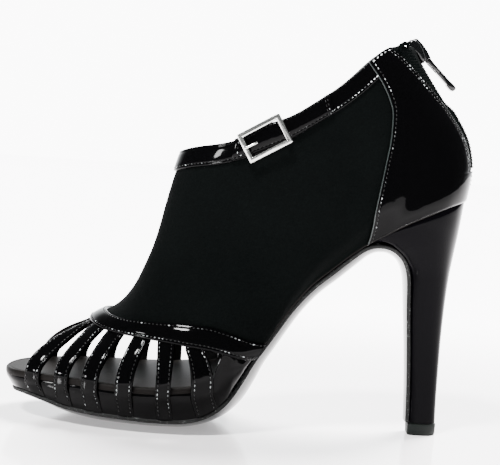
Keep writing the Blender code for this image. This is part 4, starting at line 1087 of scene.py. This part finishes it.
@dataclass
class Leg:
    """The suede shaft and everything laid on it."""

    buckle_x: float = 8.0

    def shaft(self) -> None:
        """Suede outside, leather lining inside, open for the zip."""
        cage = Cage()
        heights = np.concatenate([np.linspace(0, ZIP_FOOT, 14), np.linspace(ZIP_FOOT + 0.004, 1, 62)])
        parts = []
        for side in SIDES:
            rows_p, rows_n = [], []
            for v in heights:
                end = 1.0 if v <= ZIP_FOOT else SHAFT.share_from_back(v, ZIP_SLOT + 1.4)
                t = np.linspace(0, 1, 90)
                f = end * (0.5 * t + 0.5 * (1 - np.cos(math.pi * t)) / 2)
                rows_p.append(SHAFT.skin(f, v, side))
                rows_n.append(SHAFT.normal(f, v, side))
            first, normal = rows_p[0].copy(), rows_n[0]
            f = (0.5 * t + 0.5 * (1 - np.cos(math.pi * t)) / 2)
            xb = BASE[0][0] + f * (BASE[-1][0] - BASE[0][0])
            under = first.copy()
            lowx = np.interp(xb, [BASE[0][0]] + [e[3] for e in EDGES], [BAND[0][0]] + [e[2] for e in EDGES])
            low = np.stack([lowx, side * cage.band_half(lowx), cage.band_z(lowx)], -1)
            share = (0.45 * (xb < 14.0) * np.clip((14.2 - xb) / 6, 0, 1))[:, None]
            under = first * (1 - share) + low * share
            under = under + (share > 0) * normal * -0.3
            skin = np.array([under] + rows_p)
            out = np.array([normal] + rows_n)
            top = np.zeros(skin.shape[:2])
            top[0] = -0.2
            top[-1] = -0.4
            parts.append(grid_shell(skin, out, top, np.full(top.shape, -WALL), split=True))
        leg = joined("suede_shaft", parts, [Finish.SUEDE.material, Finish.LINING.material])
        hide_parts("upper")
        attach(leg, "shoe")
        log.info("shaft")

    def laid(self, name: str, node: str, f: np.ndarray, v: np.ndarray, sides: tuple[int, ...], lift: float,
             top: np.ndarray, finish: Finish = Finish.PATENT) -> bpy.types.Object:
        """A piece of leather laid on the shaft.

        Args:
            name: name of the piece.
            node: the solid that it stands for.
            f: grid of shares round the leg.
            v: grid of shares of the height.
            sides: the sides that it covers.
            lift: height of its underside.
            top: grid of heights of its face over the underside.
            finish: its finish.

        Returns:
            The piece.
        """
        parts = []
        for side in sides:
            skin, out = SHAFT.skin(f, v, side), SHAFT.normal(f, v, side)
            parts.append(grid_shell(skin, out, lift + top, np.full(f.shape, lift)))
        thing = joined(name, parts, [finish.material])
        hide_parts(node)
        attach(thing, "shoe")
        log.info(name)
        return thing

    def counter(self) -> None:
        """The patent counter, with its edge line, its stitch row and the double row along the zip."""
        heights = np.concatenate([[0.0, 0.004, 0.01], np.linspace(0.02, ZIP_FOOT, 12),
                                  np.linspace(ZIP_FOOT + 0.004, 1, 58)])
        d_front = np.array([0.0, 0.08, 0.25, 0.5, 0.8, 1.2, 1.7, 2.1, 2.5, 3.2])
        d_back = np.array([4.4, 3.7, 3.2, 2.9, 2.6, 2.1, 1.6, 1.3, 1.0, 0.6, 0.3, 0.12, 0.0])
        f_rows, v_rows, top_rows = [], [], []
        for v in heights:
            first = SHAFT.counter_share(v)
            end = 1.0 if v <= ZIP_FOOT else SHAFT.opening_share(v)
            g = np.linspace(first, end, 400)
            p = SHAFT.skin(g, np.full(400, v), -1)
            s = np.concatenate([[0], np.cumsum(np.linalg.norm(np.diff(p, axis=0), axis=1))])
            length = s[-1]
            where = np.concatenate([d_front, np.linspace(3.2, length - 4.4, 26)[1:-1], length - d_back])
            f_rows.append(np.interp(where, s, g))
            v_rows.append(np.full(len(where), v))
            from_front, from_back = where, length - where
            top = OVERLAY * np.sqrt(np.maximum(1 - (1 - np.clip(from_front / 0.7, 0, 1)) ** 2, 0)) + 0.02
            top = top - 0.14 * np.exp(-((from_front - 2.1) / 0.35) ** 2)
            if v > ZIP_FOOT:
                top = top * (0.3 + 0.7 * np.sqrt(np.maximum(1 - (1 - np.clip(from_back / 0.7, 0, 1)) ** 2, 0)))
            for seam in (1.3, 2.9):
                top = top - 0.14 * np.exp(-((from_back - seam) / 0.3) ** 2)
            top = top * (0.45 + 0.55 * ease((v - 0.0) / 0.012))
            top_rows.append(top)
        f, v, top = np.array(f_rows), np.array(v_rows), np.array(top_rows)
        self.laid("heel_counter_patent", "heel_counter", f, v, SIDES, 0.3, top)
        for side in SIDES:
            for column, finish in ((7, Finish.THREAD), (-6, Finish.THREAD), (-10, Finish.THREAD)):
                rows = slice(1, -1) if column > 0 else slice(9, -1)
                path = SHAFT.skin(f[rows, column], v[rows, column], side)
                out = SHAFT.normal(f[rows, column], v[rows, column], side)
                STITCHES.add(path + out * (0.42 + top[rows, column])[:, None], finish)
        # The row near the collar takes the lit copy of the thread, with brighter painted highlights.
        row = int(np.argmin(abs(heights - (1 - 1.4 / SHAFT.height(0.8)))))
        for side in SIDES:
            path = SHAFT.skin(f[row, 8:-8], v[row, 8:-8], side)
            out = SHAFT.normal(f[row, 8:-8], v[row, 8:-8], side)
            STITCHES.add(path + out * (0.42 + top[row, 8:-8])[:, None], Finish.THREAD_PAINTED_HIGHLIGHTS)
        line = []
        for side in SIDES:
            path = SHAFT.skin(f[:, 2], v[:, 2], side) + SHAFT.normal(f[:, 2], v[:, 2], side) * 1.05
            line.append(tube(path, 0.3, 8))
        trim = joined("counter_edge_line", line, [Finish.TRIM.material])
        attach(trim, "shoe")

    def collar_band(self) -> None:
        """The patent band round the collar, laid along its top edge."""
        d = across(COLLAR_BAND, 5, seam=1.5)
        end = SHAFT.counter_share(0.95)
        shares = end * (0.7 * np.linspace(0, 1, 70) + 0.3 * np.linspace(0, 1, 70) ** 2)
        f = np.repeat(shares[:, None], len(d), 1)
        v = np.array([[1 - (COLLAR_BAND - x) / SHAFT.height(float(s)) for x in d] for s in shares])
        for c in range(len(d)):
            f[-1, c] = SHAFT.counter_share(float(v[-1, c])) - 0.002
        f = shares[:, None] + (f[-1] - end)[None, :] * (shares[:, None] / end) ** 8
        top = np.tile(leather_top(d, COLLAR_BAND, OVERLAY, (1.5,), 0.1), (len(shares), 1))
        self.laid("collar_band_patent", "collar_band", f, v, SIDES, 0.25, top)
        for side in SIDES:
            j = int(np.argmin(abs(d - 1.5)))
            path = SHAFT.skin(f[:, j], v[:, j], side)
            path = path + SHAFT.normal(f[:, j], v[:, j], side) * (0.35 + top[:, j])[:, None]
            # In front of x = 37 the row takes the black thread; behind it, the lit copy with brighter painted
            # highlights.
            turn = int(np.searchsorted(path[:, 0], 37.0))
            STITCHES.add(path[:turn + 1], Finish.THREAD)
            STITCHES.add(path[turn:], Finish.THREAD_PAINTED_HIGHLIGHTS)

    def buckle_strap(self) -> None:
        """The short strap that runs through the buckle, sewn across at its end."""
        width = COLLAR_BAND + 0.3
        d = across(width, 5, seam=1.2)
        first, last_low = SHAFT.share_at_x(0.95, -5.0), SHAFT.share_at_x(0.95, 37.5)
        last_high = SHAFT.share_at_x(0.97, 36.0)
        along = np.concatenate([[0.0, 0.006, 0.02], np.linspace(0.04, 0.96, 46), [0.98, 0.994, 1.0]])
        last = last_low + (last_high - last_low) * d / width
        f = first + along[:, None] * (last - first)[None, :]
        v = np.array([[1 - (width - 0.55 - x) / SHAFT.height(float(f[r, c])) for c, x in enumerate(d)]
                      for r in range(len(along))])
        v = np.minimum(v, 1.0)
        top = np.tile(leather_top(d, width, OVERLAY, (1.2,), 0.25), (len(along), 1))
        for r, share in ((0, 0.3), (1, 0.8), (-1, 0.3), (-2, 0.8)):
            top[r] *= share
        skin, out = SHAFT.skin(f, v, -1), SHAFT.normal(f, v, -1)
        arch = np.exp(-((skin[..., 0] - self.buckle_x) / 8.5) ** 2) * (0.7 + 1.7 * d / width)[None, :]
        skin = skin + arch[..., None] * np.array([-0.35, 0.0, 0.94])
        strap = joined("buckle_strap_patent", [grid_shell(skin, out, 1.3 + top, np.full(top.shape, 1.3))],
                       [Finish.PATENT.material])
        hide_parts("buckle_strap")
        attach(strap, "shoe")
        log.info("buckle strap")

        def sew(rows: slice | int, columns: slice | int) -> None:
            """Adds a row of stitches along part of the grid."""
            STITCHES.add(skin[rows, columns] + out[rows, columns] * (1.4 + top[rows, columns])[:, None])

        sew(slice(2, -2), int(np.argmin(abs(d - 1.2))))
        sew(slice(2, -2), int(np.argmin(abs(d - width + 1.2))))
        for row in (-4, -5, 4):
            sew(row, slice(4, -4))

    def build(self) -> None:
        """All the pieces of the leg."""
        self.shaft()
        self.counter()
        self.collar_band()
        self.buckle_strap()


def tube(path: np.ndarray, radius: float, sides: int = 8) -> tuple[np.ndarray, list[tuple], None]:
    """A closed round cord along a path in millimetres."""
    path = np.asarray(path)
    along = unit(np.gradient(path, axis=0))
    ref = np.array([0.0, 1.0, 0.0])
    first = unit(np.cross(along, ref))
    second = np.cross(along, first)
    angle = np.linspace(0, 2 * math.pi, sides, endpoint=False)
    rings = path[:, None] + radius * (np.cos(angle)[None, :, None] * first[:, None]
                                      + np.sin(angle)[None, :, None] * second[:, None])
    n = len(path)
    faces = [(r * sides + c, r * sides + (c + 1) % sides, (r + 1) * sides + (c + 1) % sides, (r + 1) * sides + c)
             for r in range(n - 1) for c in range(sides)]
    faces += [tuple(range(sides)), tuple((n - 1) * sides + c for c in range(sides))]
    return rings.reshape(-1, 3), faces, None


def bevel(thing: bpy.types.Object, width: float, segments: int = 3) -> None:
    """Rounds a piece's edges, in millimetres, and keeps the result as its mesh."""
    modifier = thing.modifiers.new("edges", "BEVEL")
    modifier.width, modifier.segments, modifier.limit_method = width * MM, segments, "ANGLE"
    modifier.angle_limit = math.radians(30)
    graph = bpy.context.evaluated_depsgraph_get()
    mesh = bpy.data.meshes.new_from_object(thing.evaluated_get(graph))
    thing.modifiers.clear()
    thing.data = mesh
    mesh.shade_smooth()
    mesh.set_sharp_from_angle(angle=math.radians(50))


# Hardware

@dataclass
class Buckle:
    """The rectangular buckle on the outer side, with its prong."""

    x: float = 9.0
    z: float = 133.4
    tilt: float = math.radians(30.0)
    length: float = 21.4
    width: float = 14.4
    bar: float = 2.2
    wall: float = 1.6
    base: float = 3.05

    def build(self) -> None:
        """The frame and the prong."""
        f = SHAFT.share_at_x(0.95, self.x)
        v = 1 - COLLAR_BAND / 2 / SHAFT.height(f)
        at, out = SHAFT.skin(f, v, -1), SHAFT.normal(f, v, -1)
        at = np.array([self.x, at[1], self.z])
        long = np.array([math.cos(self.tilt), 0.0, math.sin(self.tilt)])
        long = unit(long - out * (long @ out))
        wide = np.cross(out, long)
        rings = []
        for inset, depth in ((0.0, 0.0), (0.0, self.wall), (self.bar, self.wall), (self.bar, 0.0)):
            rings.append([at + long * (self.length / 2 - inset) * i + wide * (self.width / 2 - inset) * j
                          + out * (self.base + depth) for i, j in ((-1, -1), (1, -1), (1, 1), (-1, 1))])
        points = np.array(rings).reshape(-1, 3)
        faces = [(r * 4 + c, r * 4 + (c + 1) % 4, (r + 1) % 4 * 4 + (c + 1) % 4, (r + 1) % 4 * 4 + c)
                 for r in range(4) for c in range(4)]
        frame_piece = piece("buckle_frame_nickel", points, faces, [Finish.NICKEL.material])
        tidy_normals(frame_piece)
        bevel(frame_piece, 0.55, 3)
        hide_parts("buckle_frame")
        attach(frame_piece, "shoe")

        start = at - long * (self.length / 2 - self.bar / 2) + out * (self.base + 0.8)
        stations = ((-0.4, 1.0), (0.4, 1.15), (1.3, 0.8), (2.6, 0.5), (4.0, 0.2), (5.0, -0.2), (5.6, -0.7))
        path = np.array([start + long * a + out * h for a, h in stations])
        s = np.linspace(0, 1, len(path))
        fine = np.stack([Track([(s[i], path[i][k]) for i in range(len(s))], 1, 0.05)(np.linspace(0, 1, 26))
                         for k in range(3)], -1)
        prong = joined("buckle_prong_nickel", [tube(fine, 0.62, 10), tube(np.array(
            [start - wide * 1.5, start - wide * 0.5, start + wide * 0.5, start + wide * 1.5]), 1.28, 12)],
            [Finish.NICKEL.material])
        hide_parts("buckle_prong")
        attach(prong, "shoe")
        log.info("buckle")


@dataclass
class Zip:
    """Tape, teeth, slider and pull of the back zip."""

    pitch: float = 1.45
    slider_at: float = 0.965
    pin: tuple[float, float] = (81.5, 174.3)
    fall: float = math.radians(44.5)

    def seam(self, v: np.ndarray) -> tuple[np.ndarray, np.ndarray, np.ndarray]:
        """Points, outward and upward directions along the back seam."""
        v = np.atleast_1d(v)
        at = SHAFT.skin(np.ones(len(v)), v, -1)
        at[:, 1] = 0
        up = SHAFT.skin(np.ones(len(v)), np.minimum(v + 0.01, 1), -1) - SHAFT.skin(
            np.ones(len(v)), np.maximum(v - 0.01, 0), -1)
        up[:, 1] = 0
        up = unit(up)
        out = np.stack([up[:, 2], np.zeros(len(v)), -up[:, 0]], -1)
        return at, out, up

    def tape(self) -> None:
        """The ribbed cloth between the counter's edges, which bulges a little where the teeth meet."""
        seam_length = SHAFT.height(1.0)
        count = int(seam_length * (1 - ZIP_FOOT + 0.02) / 0.34)
        heights = np.linspace(ZIP_FOOT - 0.02, 0.975, count)
        t = np.concatenate([np.linspace(0, 0.8, 10), np.linspace(0.84, 1.0, 7)])
        firsts = [SHAFT.opening_share(max(float(v), ZIP_FOOT + 0.004)) for v in heights]
        firsts = np.array(firsts) - 1.4 / 118.0
        f = firsts[:, None] + (1.0 - firsts[:, None]) * t[None, :]
        v = np.repeat(heights[:, None], len(t), 1)
        rib = 0.10 * np.sin(2 * math.pi * heights * seam_length / 1.36)[:, None] * ease(t / 0.2)[None, :]
        seam_z = np.array([SHAFT.skin(1.0, float(v_row), -1)[2] for v_row in heights])
        head = ease((seam_z - 150.0) / 7.0)[:, None]
        swell, trough = ease((t - 0.3) / 0.7)[None, :], ease((t - 0.72) / 0.14)[None, :]
        depth = 0.05 + 0.75 * (1 - head) * swell - 1.3 * head * trough + rib
        parts = []
        for side in SIDES:
            skin, out = SHAFT.skin(f, v, side), SHAFT.normal(f, v, side)
            parts.append(grid_shell(skin, out, depth, depth - 0.4))
        thing = joined("zip_tape_cloth", parts, [Finish.TAPE.material], crease=60)
        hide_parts("zip_tape")
        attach(thing, "shoe")

    def teeth(self) -> None:
        """Two rows of teeth that mesh down the middle, made by Geometry Nodes."""
        v = np.linspace(ZIP_FOOT + 0.03, self.slider_at - 0.05, 400)
        at, out, _ = self.seam(v)
        s = np.concatenate([[0], np.cumsum(np.linalg.norm(np.diff(at, axis=0), axis=1))])
        carrier_points, tangents = [], []
        for k in range(int(s[-1] / self.pitch * 2)):
            here = k * self.pitch / 2
            p = np.array([np.interp(here, s, at[:, i]) for i in range(3)])
            o = np.array([np.interp(here, s, out[:, i]) for i in range(3)])
            rise = 1.15 - 2.0 * ease((p[2] - 150.0) / 7.0)
            carrier_points.append(p + o * rise + np.array([0, (0.7 if k % 2 else -0.7), 0]))
            tangents.append(unit(o))
        mesh = bpy.data.meshes.new("zip_teeth_rows")
        mesh.from_pydata((np.array(carrier_points) * MM).tolist(), [], [])
        normal = mesh.attributes.new("outward", "FLOAT_VECTOR", "POINT")
        normal.data.foreach_set("vector", np.array(tangents).ravel())
        thing = bpy.data.objects.new("zip_teeth_metal", mesh)
        bpy.context.scene.collection.objects.link(thing)
        tree = bpy.data.node_groups.new("zip_teeth_rows", "GeometryNodeTree")
        face = tree.interface
        face.new_socket("Geometry", in_out="INPUT", socket_type="NodeSocketGeometry")
        for name in ("Tooth length", "Tooth width", "Tooth height"):
            face.new_socket(name, in_out="INPUT", socket_type="NodeSocketFloat")
        face.new_socket("Geometry", in_out="OUTPUT", socket_type="NodeSocketGeometry")
        new, link = tree.nodes.new, tree.links.new
        start, end = new("NodeGroupInput"), new("NodeGroupOutput")
        size, ball, tooth = (new("ShaderNodeCombineXYZ"), new("GeometryNodeMeshUVSphere"),
                             new("GeometryNodeTransform"))
        ball.inputs["Segments"].default_value, ball.inputs["Rings"].default_value = 8, 5
        ball.inputs["Radius"].default_value = 0.5
        named, turn = new("GeometryNodeInputNamedAttribute"), new("FunctionNodeAlignRotationToVector")
        named.data_type, named.inputs["Name"].default_value = "FLOAT_VECTOR", "outward"
        turn.axis = "Z"
        turn.pivot_axis = "Y"
        place, real, paint = (new("GeometryNodeInstanceOnPoints"), new("GeometryNodeRealizeInstances"),
                              new("GeometryNodeSetMaterial"))
        paint.inputs["Material"].default_value = Finish.ZIP_METAL.material
        link(start.outputs["Tooth length"], size.inputs["X"])
        link(start.outputs["Tooth width"], size.inputs["Y"])
        link(start.outputs["Tooth height"], size.inputs["Z"])
        link(ball.outputs["Mesh"], tooth.inputs["Geometry"])
        link(size.outputs["Vector"], tooth.inputs["Scale"])
        link(named.outputs["Attribute"], turn.inputs["Vector"])
        link(start.outputs["Geometry"], place.inputs["Points"])
        link(tooth.outputs["Geometry"], place.inputs["Instance"])
        link(turn.outputs["Rotation"], place.inputs["Rotation"])
        link(place.outputs["Instances"], real.inputs["Geometry"])
        link(real.outputs["Geometry"], paint.inputs["Geometry"])
        link(paint.outputs["Geometry"], end.inputs["Geometry"])
        modifier = thing.modifiers.new("teeth", "NODES")
        modifier.node_group = tree
        sizes = {"Tooth length": 1.3, "Tooth width": 2.6, "Tooth height": 1.5}
        for item in tree.interface.items_tree:
            if item.in_out == "INPUT" and item.name in sizes:
                modifier[item.identifier] = sizes[item.name] * MM
        graph = bpy.context.evaluated_depsgraph_get()
        plain = bpy.data.meshes.new_from_object(thing.evaluated_get(graph))
        thing.modifiers.clear()
        thing.data = plain
        plain.shade_smooth()
        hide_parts("zip_teeth")
        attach(thing, "shoe")

    def lofted(self, name: str, outline: tuple[tuple[float, float], ...],
               levels: tuple[tuple[float, float], ...], edge: float) -> bpy.types.Object:
        """A rounded metal piece made from its outline in side view.

        Args:
            name: name of the piece.
            outline: corners in x and z.
            levels: pairs of y and how much of the outline's size remains there.
            edge: radius of its edges.

        Returns:
            The piece.
        """
        middle = np.mean(outline, axis=0)
        points, count = [], len(outline)
        for y, scale in levels:
            points += [(middle[0] + (x - middle[0]) * scale, y, middle[1] + (z - middle[1]) * scale)
                       for x, z in outline]
        faces = [(r * count + c, r * count + (c + 1) % count, (r + 1) * count + (c + 1) % count,
                  (r + 1) * count + c) for r in range(len(levels) - 1) for c in range(count)]
        faces += [tuple(range(count)), tuple((len(levels) - 1) * count + c for c in range(count))]
        thing = piece(name, np.array(points), faces, [Finish.ZIP_METAL.material], crease=60)
        tidy_normals(thing)
        bevel(thing, edge, 3)
        return thing

    def slider(self) -> None:
        """The slider: a wide body on the tape and the lug that holds the pull."""
        body = self.lofted("zip_slider_body", (
            (70.9, 182.0), (72.4, 183.4), (74.6, 183.6), (76.6, 182.0), (78.6, 179.0), (79.9, 175.6), (79.6, 172.8),
            (78.2, 173.2), (76.0, 176.6), (73.4, 178.6), (71.2, 180.0)),
            ((-4.1, 0.74), (-3.5, 0.93), (-1.2, 1.0), (1.2, 1.0), (3.5, 0.93), (4.1, 0.74)), 0.4)
        lug = self.lofted("zip_slider_lug", (
            (73.0, 183.0), (74.4, 184.0), (75.7, 184.1), (78.1, 182.0), (80.6, 179.0), (82.4, 175.9), (82.9, 174.3),
            (82.3, 173.1), (81.0, 172.9), (79.4, 174.4), (77.4, 177.0), (74.6, 180.0)),
            ((-1.55, 0.9), (-1.2, 1.0), (1.2, 1.0), (1.55, 0.9)), 0.3)
        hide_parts("zip_slider")
        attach(body, "shoe")
        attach(lug, "shoe")

    def pull(self) -> None:
        """The pull tab: two arms round the lug, then a flat bar with a thicker end."""
        down = np.array([math.cos(self.fall), 0.0, -math.sin(self.fall)])
        away = np.array([-down[2], 0.0, down[0]])
        pin = np.array([self.pin[0], 0.0, self.pin[1]])

        def bar(stations: tuple[tuple[float, float, float, float], ...], y: float
                ) -> tuple[np.ndarray, list[tuple], None]:
            """A bar through stations of distance, half width, near and far thickness, centred at y."""
            rows = [[pin + down * along + away * depth + np.array([0, y + across_it, 0])
                     for across_it, depth in ((-half, -near), (-half, far), (half, far), (half, -near))]
                    for along, half, near, far in stations]
            count = len(rows)
            faces = [(r * 4 + c, r * 4 + (c + 1) % 4, (r + 1) * 4 + (c + 1) % 4, (r + 1) * 4 + c)
                     for r in range(count - 1) for c in range(4)]
            faces += [(0, 1, 2, 3), tuple(4 * (count - 1) + c for c in range(4))]
            return np.array(rows).reshape(-1, 3), faces, None

        arm = ((-1.0, 0.5, 0.6, 0.6), (-0.5, 0.6, 1.0, 1.0), (0.8, 0.6, 1.15, 1.15), (3.0, 0.55, 1.0, 1.0),
               (7.4, 0.55, 0.95, 0.95))
        tab = ((6.4, 2.3, 0.9, 0.9), (6.9, 2.75, 1.05, 1.05), (9.0, 2.6, 1.05, 1.05), (13.6, 2.7, 1.05, 1.05),
               (14.4, 2.8, 1.45, 1.15), (16.6, 2.8, 1.5, 1.3), (17.6, 2.6, 1.2, 1.1), (18.2, 2.1, 0.8, 0.8))
        thing = joined("zip_pull_tab", [bar(arm, -2.3), bar(arm, 2.3), bar(tab, 0.0)],
                       [Finish.ZIP_METAL.material], crease=60)
        bevel(thing, 0.3, 2)
        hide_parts("zip_pull")
        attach(thing, "pull")

    def tape_ends(self) -> None:
        """The folded ends of the tape, which stand a little above the collar beside the slider."""
        parts = []
        for side in SIDES:
            rows = []
            for x, z, y, thick in ((66.6, 176.4, 12.6, 0.9), (66.2, 178.9, 12.0, 1.2), (67.0, 180.6, 11.0, 1.4),
                                   (68.7, 181.6, 9.8, 1.4), (70.5, 181.5, 8.4, 1.3), (71.6, 180.0, 7.4, 1.0)):
                centre = np.array([x, side * y, z])
                inward = unit(np.array([69.6 - x, 0.0, 177.6 - z]))
                rows.append([centre + np.array([0.0, y_off, 0.0]) + inward * t
                             for y_off, t in ((-2.6, 0.0), (2.6, 0.0), (2.6, thick), (-2.6, thick))])
            count = len(rows)
            faces = [(r * 4 + c, r * 4 + (c + 1) % 4, (r + 1) * 4 + (c + 1) % 4, (r + 1) * 4 + c)
                     for r in range(count - 1) for c in range(4)]
            faces += [(0, 1, 2, 3), tuple(4 * (count - 1) + c for c in range(4))]
            parts.append((np.array(rows).reshape(-1, 3), faces, None))
        ends = joined("zip_tape_ends", parts, [Finish.TAPE.material], crease=80)
        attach(ends, "shoe")

    def build(self) -> None:
        """All the pieces of the zip."""
        self.tape()
        self.tape_ends()
        self.teeth()
        self.slider()
        self.pull()
        log.info("zip")


@dataclass
class Studio:
    """Pale floor, soft lights and the camera at the photograph's angle."""

    lens: float = 95.8
    eye: tuple[float, float, float] = (4.37, -620.0, 130.77)
    pitch: float = math.radians(3.8)
    roll: float = math.radians(3.7)

    def camera(self) -> None:
        """Places the camera."""
        data = bpy.data.cameras.new("view")
        data.lens, data.sensor_width, data.clip_start = self.lens, 36.0, 0.01
        thing = bpy.data.objects.new("view", data)
        bpy.context.scene.collection.objects.link(thing)
        c, s = math.cos(self.pitch), math.sin(self.pitch)
        d, r0, u0 = np.array([0, c, -s]), np.array([1.0, 0, 0]), np.array([0, s, c])
        r = math.cos(self.roll) * r0 + math.sin(self.roll) * u0
        u = math.cos(self.roll) * u0 - math.sin(self.roll) * r0
        turn = Matrix(((r[0], u[0], -d[0]), (r[1], u[1], -d[1]), (r[2], u[2], -d[2]))).to_4x4()
        thing.matrix_world = Matrix.Translation([x * MM for x in self.eye]) @ turn
        bpy.context.scene.camera = thing

    def sun(self, name: str, towards: tuple[float, float, float], power: float, width: float) -> None:
        """A soft far light.

        Args:
            name: its name.
            towards: direction from the shoe to the light.
            power: light on a surface that faces it, in watts per square metre.
            width: its apparent width in degrees.
        """
        data = bpy.data.lights.new(name, "SUN")
        data.energy, data.angle = power, math.radians(width)
        thing = bpy.data.objects.new(name, data)
        thing.rotation_euler = (-Vector(towards)).to_track_quat("-Z", "Y").to_euler()
        bpy.context.scene.collection.objects.link(thing)

    def build(self) -> None:
        """Floor, world, lights and camera."""
        floor = bpy.data.meshes.new("floor")
        floor.from_pydata([(-6, -6, 0), (6, -6, 0), (6, 6, 0), (-6, 6, 0)], [], [(0, 1, 2, 3)])
        material, shader = shader_of("floor_gloss_and_painted_glow")
        shader.inputs["Base Color"].default_value = (0.93, 0.90, 0.905, 1)
        shader.inputs["Roughness"].default_value = 0.1
        shader.inputs["Specular IOR Level"].default_value = 0.5
        # Painted light: the floor glows, strongly far off and only faintly close to the shoe, which paints a pale
        # shade round it.
        shader.inputs["Emission Color"].default_value = (1.0, 0.975, 0.985, 1)
        nodes, links = material.node_tree.nodes, material.node_tree.links
        place, far = nodes.new("ShaderNodeTexCoord"), nodes.new("ShaderNodeVectorMath")
        painted_floor_glow = nodes.new("ShaderNodeMapRange")
        far.operation, painted_floor_glow.interpolation_type = "LENGTH", "SMOOTHSTEP"
        painted_floor_glow.inputs["From Min"].default_value, painted_floor_glow.inputs["From Max"].default_value = 0.12, 0.5
        painted_floor_glow.inputs["To Min"].default_value, painted_floor_glow.inputs["To Max"].default_value = 0.4, 4.5
        links.new(place.outputs["Object"], far.inputs[0])
        links.new(far.outputs["Value"], painted_floor_glow.inputs["Value"])
        links.new(painted_floor_glow.outputs["Result"], shader.inputs["Emission Strength"])
        floor.materials.append(material)
        thing = bpy.data.objects.new("floor", floor)
        bpy.context.scene.collection.objects.link(thing)
        world = bpy.data.worlds.new("studio")
        world.use_nodes = True
        nodes, links = world.node_tree.nodes, world.node_tree.links
        room, paper, rays = nodes["Background"], nodes.new("ShaderNodeBackground"), nodes.new("ShaderNodeLightPath")
        where, split = nodes.new("ShaderNodeTexCoord"), nodes.new("ShaderNodeSeparateXYZ")
        behind, low, wall = nodes.new("ShaderNodeMapRange"), nodes.new("ShaderNodeMapRange"), nodes.new("ShaderNodeMath")
        behind.interpolation_type = low.interpolation_type = "SMOOTHSTEP"
        behind.inputs["From Min"].default_value, behind.inputs["From Max"].default_value = 0.3, 0.8
        low.inputs["From Min"].default_value, low.inputs["From Max"].default_value = 0.2, 0.6
        low.inputs["To Min"].default_value, low.inputs["To Max"].default_value = 1.0, 0.0
        wall.operation = "MULTIPLY"
        light = nodes.new("ShaderNodeMath")
        light.operation = "MULTIPLY_ADD"
        light.inputs[1].default_value, light.inputs[2].default_value = 4.5, 0.3
        links.new(where.outputs["Generated"], split.inputs[0])
        links.new(split.outputs["Y"], behind.inputs["Value"])
        links.new(split.outputs["Z"], low.inputs["Value"])
        links.new(behind.outputs["Result"], wall.inputs[0])
        links.new(low.outputs["Result"], wall.inputs[1])
        links.new(wall.outputs[0], light.inputs[0])
        links.new(light.outputs[0], room.inputs["Strength"])
        room.inputs["Color"].default_value = (0.96, 0.98, 1.0, 1)
        paper.inputs["Color"].default_value = (1.0, 1.0, 1.0, 1)
        paper.inputs["Strength"].default_value = 10.5
        blend = nodes.new("ShaderNodeMixShader")
        links.new(rays.outputs["Is Camera Ray"], blend.inputs[0])
        links.new(room.outputs[0], blend.inputs[1])
        links.new(paper.outputs[0], blend.inputs[2])
        links.new(blend.outputs[0], nodes["World Output"].inputs["Surface"])
        bpy.context.scene.world = world
        self.sun("key", (-0.30, -0.42, 0.80), 8.0, 9.0)
        self.sun("window", (-0.80, -0.56, 0.20), 1.6, 6.0)
        self.sun("back", (0.30, 0.42, 0.86), 20.0, 26.0)
        self.camera()


def main() -> None:
    """Builds every piece in order."""
    logging.basicConfig(level=logging.INFO, format="%(message)s")
    Sole().build()
    Heel().build()
    Cage().build()
    Leg().build()
    Buckle().build()
    Zip().build()
    STITCHES.build("stitches", "shoe")
    Studio().build()


if __name__ == "__main__":
    main()
